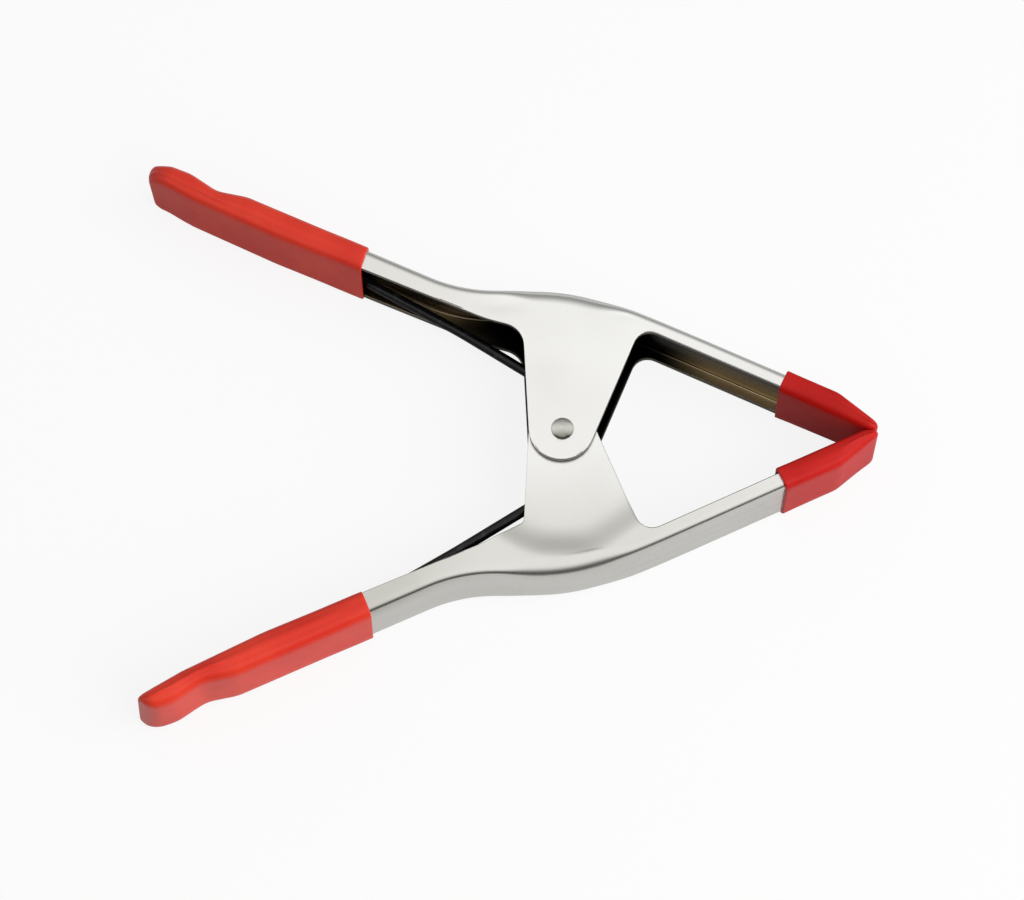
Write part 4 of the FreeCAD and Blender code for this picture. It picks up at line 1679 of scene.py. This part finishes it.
@dataclass
class Studio:
    """A white sweep, one soft light, a bright dome and the camera."""

    bench: Bench
    camera_up: Triple = (0.0, 0.9272, 0.3746)
    camera_forward: Triple = (0.0, 0.3746, -0.9272)
    camera_left: float = 0.01339
    camera_raised: float = 0.00154
    camera_distance: float = 1.0856
    lens: float = 141.35
    sensor_width: float = 36.0
    clip: Span = (0.05, 20.0)
    floor_white: Color = (0.95, 0.95, 0.95)
    floor_half: float = 4.0
    floor_glow: float = 0.86
    bounce: Span = (0.15, 0.58)
    near_span: Span = (-0.20, -0.11)
    near_glow: float = 0.42
    gap_span: Span = (-0.035, 0.005)
    far_span: Span = (0.08, 0.12)
    far_glow: float = 0.34
    dome_light: float = 0.52
    mirrored_sky: float = 0.84
    back_span: Span = (0.36, 1.0)
    low_span: Span = (0.26, 0.82)
    front_span: Span = (0.2, 0.7)
    low_front_loss: float = 0.92
    key_place: Triple = (0.85, -0.40, 0.72)
    key_size: float = 1.6
    key_watts: float = 15.5

    @property
    def pivot(self) -> Vector:
        """The place that the camera and the light look at."""
        return Vector((self.bench.axis_x, 0.0, self.bench.flange_z))

    @staticmethod
    def stage(piece: bpy.types.Object) -> bpy.types.Object:
        """Links an object that belongs to the set and not to the clamp."""
        bpy.context.scene.collection.objects.link(piece)
        return piece

    def camera(self) -> None:
        """Looks down on the clamp from its lower side."""
        right, up, forward = Vector((1.0, 0.0, 0.0)), Vector(self.camera_up), Vector(self.camera_forward)
        data = bpy.data.cameras.new("camera")
        data.lens = self.lens
        data.sensor_width = self.sensor_width
        data.clip_start, data.clip_end = self.clip
        camera = self.stage(bpy.data.objects.new("camera", data))
        camera.location = (self.pivot - right * self.camera_left + up * self.camera_raised
                           - forward * self.camera_distance)
        camera.rotation_euler = Matrix((right, up, -forward)).transposed().to_euler()
        bpy.context.scene.camera = camera

    def floor(self) -> None:
        """A white floor that keeps a soft shadow and is darker in reflections."""
        mesh = bmesh.new()
        bmesh.ops.create_grid(mesh, x_segments=1, y_segments=1, size=self.floor_half)
        data = bpy.data.meshes.new("floor")
        mesh.to_mesh(data)
        mesh.free()
        material = bpy.data.materials.new("floor")
        material.use_nodes = True
        nodes = Nodes(material.node_tree)
        direct, mirrored = nodes.rays()
        dark, light = self.bounce
        near = nodes.fade("Y", self.near_span)
        glow_share = (near * self.near_glow - nodes.fade("Y", self.gap_span) * self.far_glow
                      + nodes.fade("Y", self.far_span) * self.far_glow)
        paper = nodes.node("ShaderNodeBsdfDiffuse", {
            "Color": nodes.mix(direct, near * (light - dark) + dark, self.floor_white)})
        glow = nodes.node("ShaderNodeEmission", {"Color": (1.0, 1.0, 1.0), "Strength": 1.0})
        share = direct * self.floor_glow + mirrored * glow_share
        nodes.end("ShaderNodeOutputMaterial", nodes.node("ShaderNodeMixShader", [share, paper, glow]))
        data.materials.append(material)
        self.stage(bpy.data.objects.new("floor", data))

    def dome(self) -> None:
        """A white background that lights the clamp, darker in reflections of the back and the low front."""
        world = bpy.data.worlds.new("dome")
        world.use_nodes = True
        bpy.context.scene.world = world
        nodes = Nodes(world.node_tree, "Generated")
        direct, mirrored = nodes.rays()
        across = nodes.axis("Y")
        low_front = (1.0 - nodes.fade("Z", self.low_span)) * (0.0 - across).between(*self.front_span)
        sky = self.mirrored_sky - across.between(*self.back_span)
        lit = (mirrored * sky + self.dome_light) * (1.0 - low_front * self.low_front_loss)
        strength = direct + (1.0 - direct) * lit
        nodes.end("ShaderNodeOutputWorld", nodes.node("ShaderNodeBackground", {"Strength": strength}))

    def key(self) -> None:
        """A round soft light that points at the rivet and that no metal mirrors."""
        data = bpy.data.lights.new("key", "AREA")
        data.shape = "DISK"
        data.size = self.key_size
        data.energy = self.key_watts
        light = self.stage(bpy.data.objects.new("key", data))
        light.visible_glossy = False
        light.location = self.pivot + Vector(self.key_place)
        light.rotation_euler = (self.pivot - light.location).to_track_quat("-Z", "Y").to_euler()

    def build(self) -> None:
        """Sets the stage."""
        self.camera()
        self.floor()
        self.dome()
        self.key()
        bpy.context.scene.view_settings.view_transform = "Standard"


def steel_pieces(bench: Bench, lines: SheetLines) -> list[bpy.types.Object]:
    """Builds the two arms, the rivet and the spring.

    Args:
        bench: Sets them in the row frame.
        lines: The lines that the arms are drawn from.

    Returns:
        The pieces.
    """
    sheet = [
        NickelPlate(bench.axis_x).make(),
        ChannelPaintedShade(bench.axis_x, bench.flange_z).make(),
        BlankedEdgeAndGapShade().make(),
    ]
    dents = (
        Dent(x=-16.0, y=36.2, reach_x=6.0, reach_y=2.4, deepest=0.16),
        Dent(x=17.0, y=33.2, reach_x=3.4, reach_y=1.5, deepest=0.07),
    )
    arms = [
        ChannelArm("outer_arm", Side.OUTER, lines, ear_corner=(-10.45, 29.25), ear_fillet=6.5,
                   hole_radius=2.2, reliefs=dents),
        ChannelArm("inner_arm", Side.INNER, lines, ear_corner=(-10.15, 25.8), ear_fillet=1.6,
                   hole_radius=2.25, reliefs=(Joggle(),)),
    ]
    return [
        *(arm.build(bench, sheet) for arm in arms),
        Rivet(lines.width).build(bench, FormedRivet().make()),
        TorsionSpring(lines).build(bench, OiledWire().make()),
    ]


def handle_sleeves(lines: SheetLines) -> list[Sleeve]:
    """The sleeves of the two handles.

    Args:
        lines: The lines that the arms are drawn from.

    Returns:
        The sleeves, not built yet.
    """
    forms = [
        HandleForm("outer_handle_sleeve", Side.OUTER, mouth_x=-54.1, mouth_lean=16.0, grip_wall=0.75,
                   end_wall=4.2, heel=Corner(-101.1, 67.8, 12.0), heel_rise=0.58, back_end_y=78.6,
                   end_radius=2.0, grip_edge=1.5, grip_swell=1.5, end_edge=6.5, end_lean=0.8),
        HandleForm("inner_handle_sleeve", Side.INNER, mouth_x=-52.6, mouth_lean=22.0, grip_wall=0.60,
                   end_wall=1.50, heel=Corner(-99.3, 67.6, 12.0), heel_rise=0.62, back_end_y=67.3,
                   end_radius=1.7, grip_edge=1.8, grip_swell=1.3, end_edge=4.0, end_lean=-0.9),
    ]
    return [
        Sleeve(form.name, form.side, lines, lines.handle_lines(form), lines.handle_foot(form.mouth_x),
               mouth_way=unit(90 - form.mouth_lean), back_edge=3.1, grip_edges=(form.grip_edge,) * 3,
               grip_swell=form.grip_swell, end_edges=(form.end_edge, 2.2), crown=0.35,
               end_lean=form.end_lean, stations=84)
        for form in forms]


def jaw_tips(lines: SheetLines) -> list[Sleeve]:
    """The tips of the two jaws.

    Args:
        lines: The lines that the arms are drawn from.

    Returns:
        The tips, not built yet.
    """
    forms = [
        TipForm("outer_jaw_tip", Side.OUTER, mouth_x=58.1, grip_wall=0.95, back_edge=1.2,
                grip_edges=(1.2, 1.8, 2.2), grip_swell=2.0),
        TipForm("inner_jaw_tip", Side.INNER, mouth_x=57.0, grip_wall=1.55, back_edge=2.4,
                grip_edges=(1.2, 1.4, 1.6), grip_swell=1.2),
    ]
    return [
        Sleeve(form.name, form.side, lines, lines.tip_lines(form.grip_wall), lines.jaw_foot(form.mouth_x),
               mouth_way=unit(64.0), back_edge=form.back_edge, grip_edges=form.grip_edges,
               grip_swell=form.grip_swell, end_edges=(2.4, 2.4), crown=0.2, end_lean=0.0, stations=48)
        for form in forms]


def main() -> None:
    """Builds the clamp and its studio, and reports each piece."""
    logging.basicConfig(level=logging.INFO, format="%(name)s: %(message)s")
    lines = SheetLines()
    bench = Bench()
    handle_vinyl = DippedVinyl("handle_vinyl", (0.86, 0.050, 0.022), (0.76, 0.030, 0.014)).make()
    tip_vinyl = DippedVinyl("tip_vinyl", (0.59, 0.012, 0.008), (0.50, 0.007, 0.005), sheen=0.2).make()
    pieces = steel_pieces(bench, lines)
    pieces += [sleeve.build(bench, handle_vinyl) for sleeve in handle_sleeves(lines)]
    pieces += [tip.build(bench, tip_vinyl) for tip in jaw_tips(lines)]
    for piece in pieces:
        LOG.info("%s: %d faces", piece.name, len(piece.data.polygons))
    Studio(bench).build()


if __name__ == "__main__":
    main()
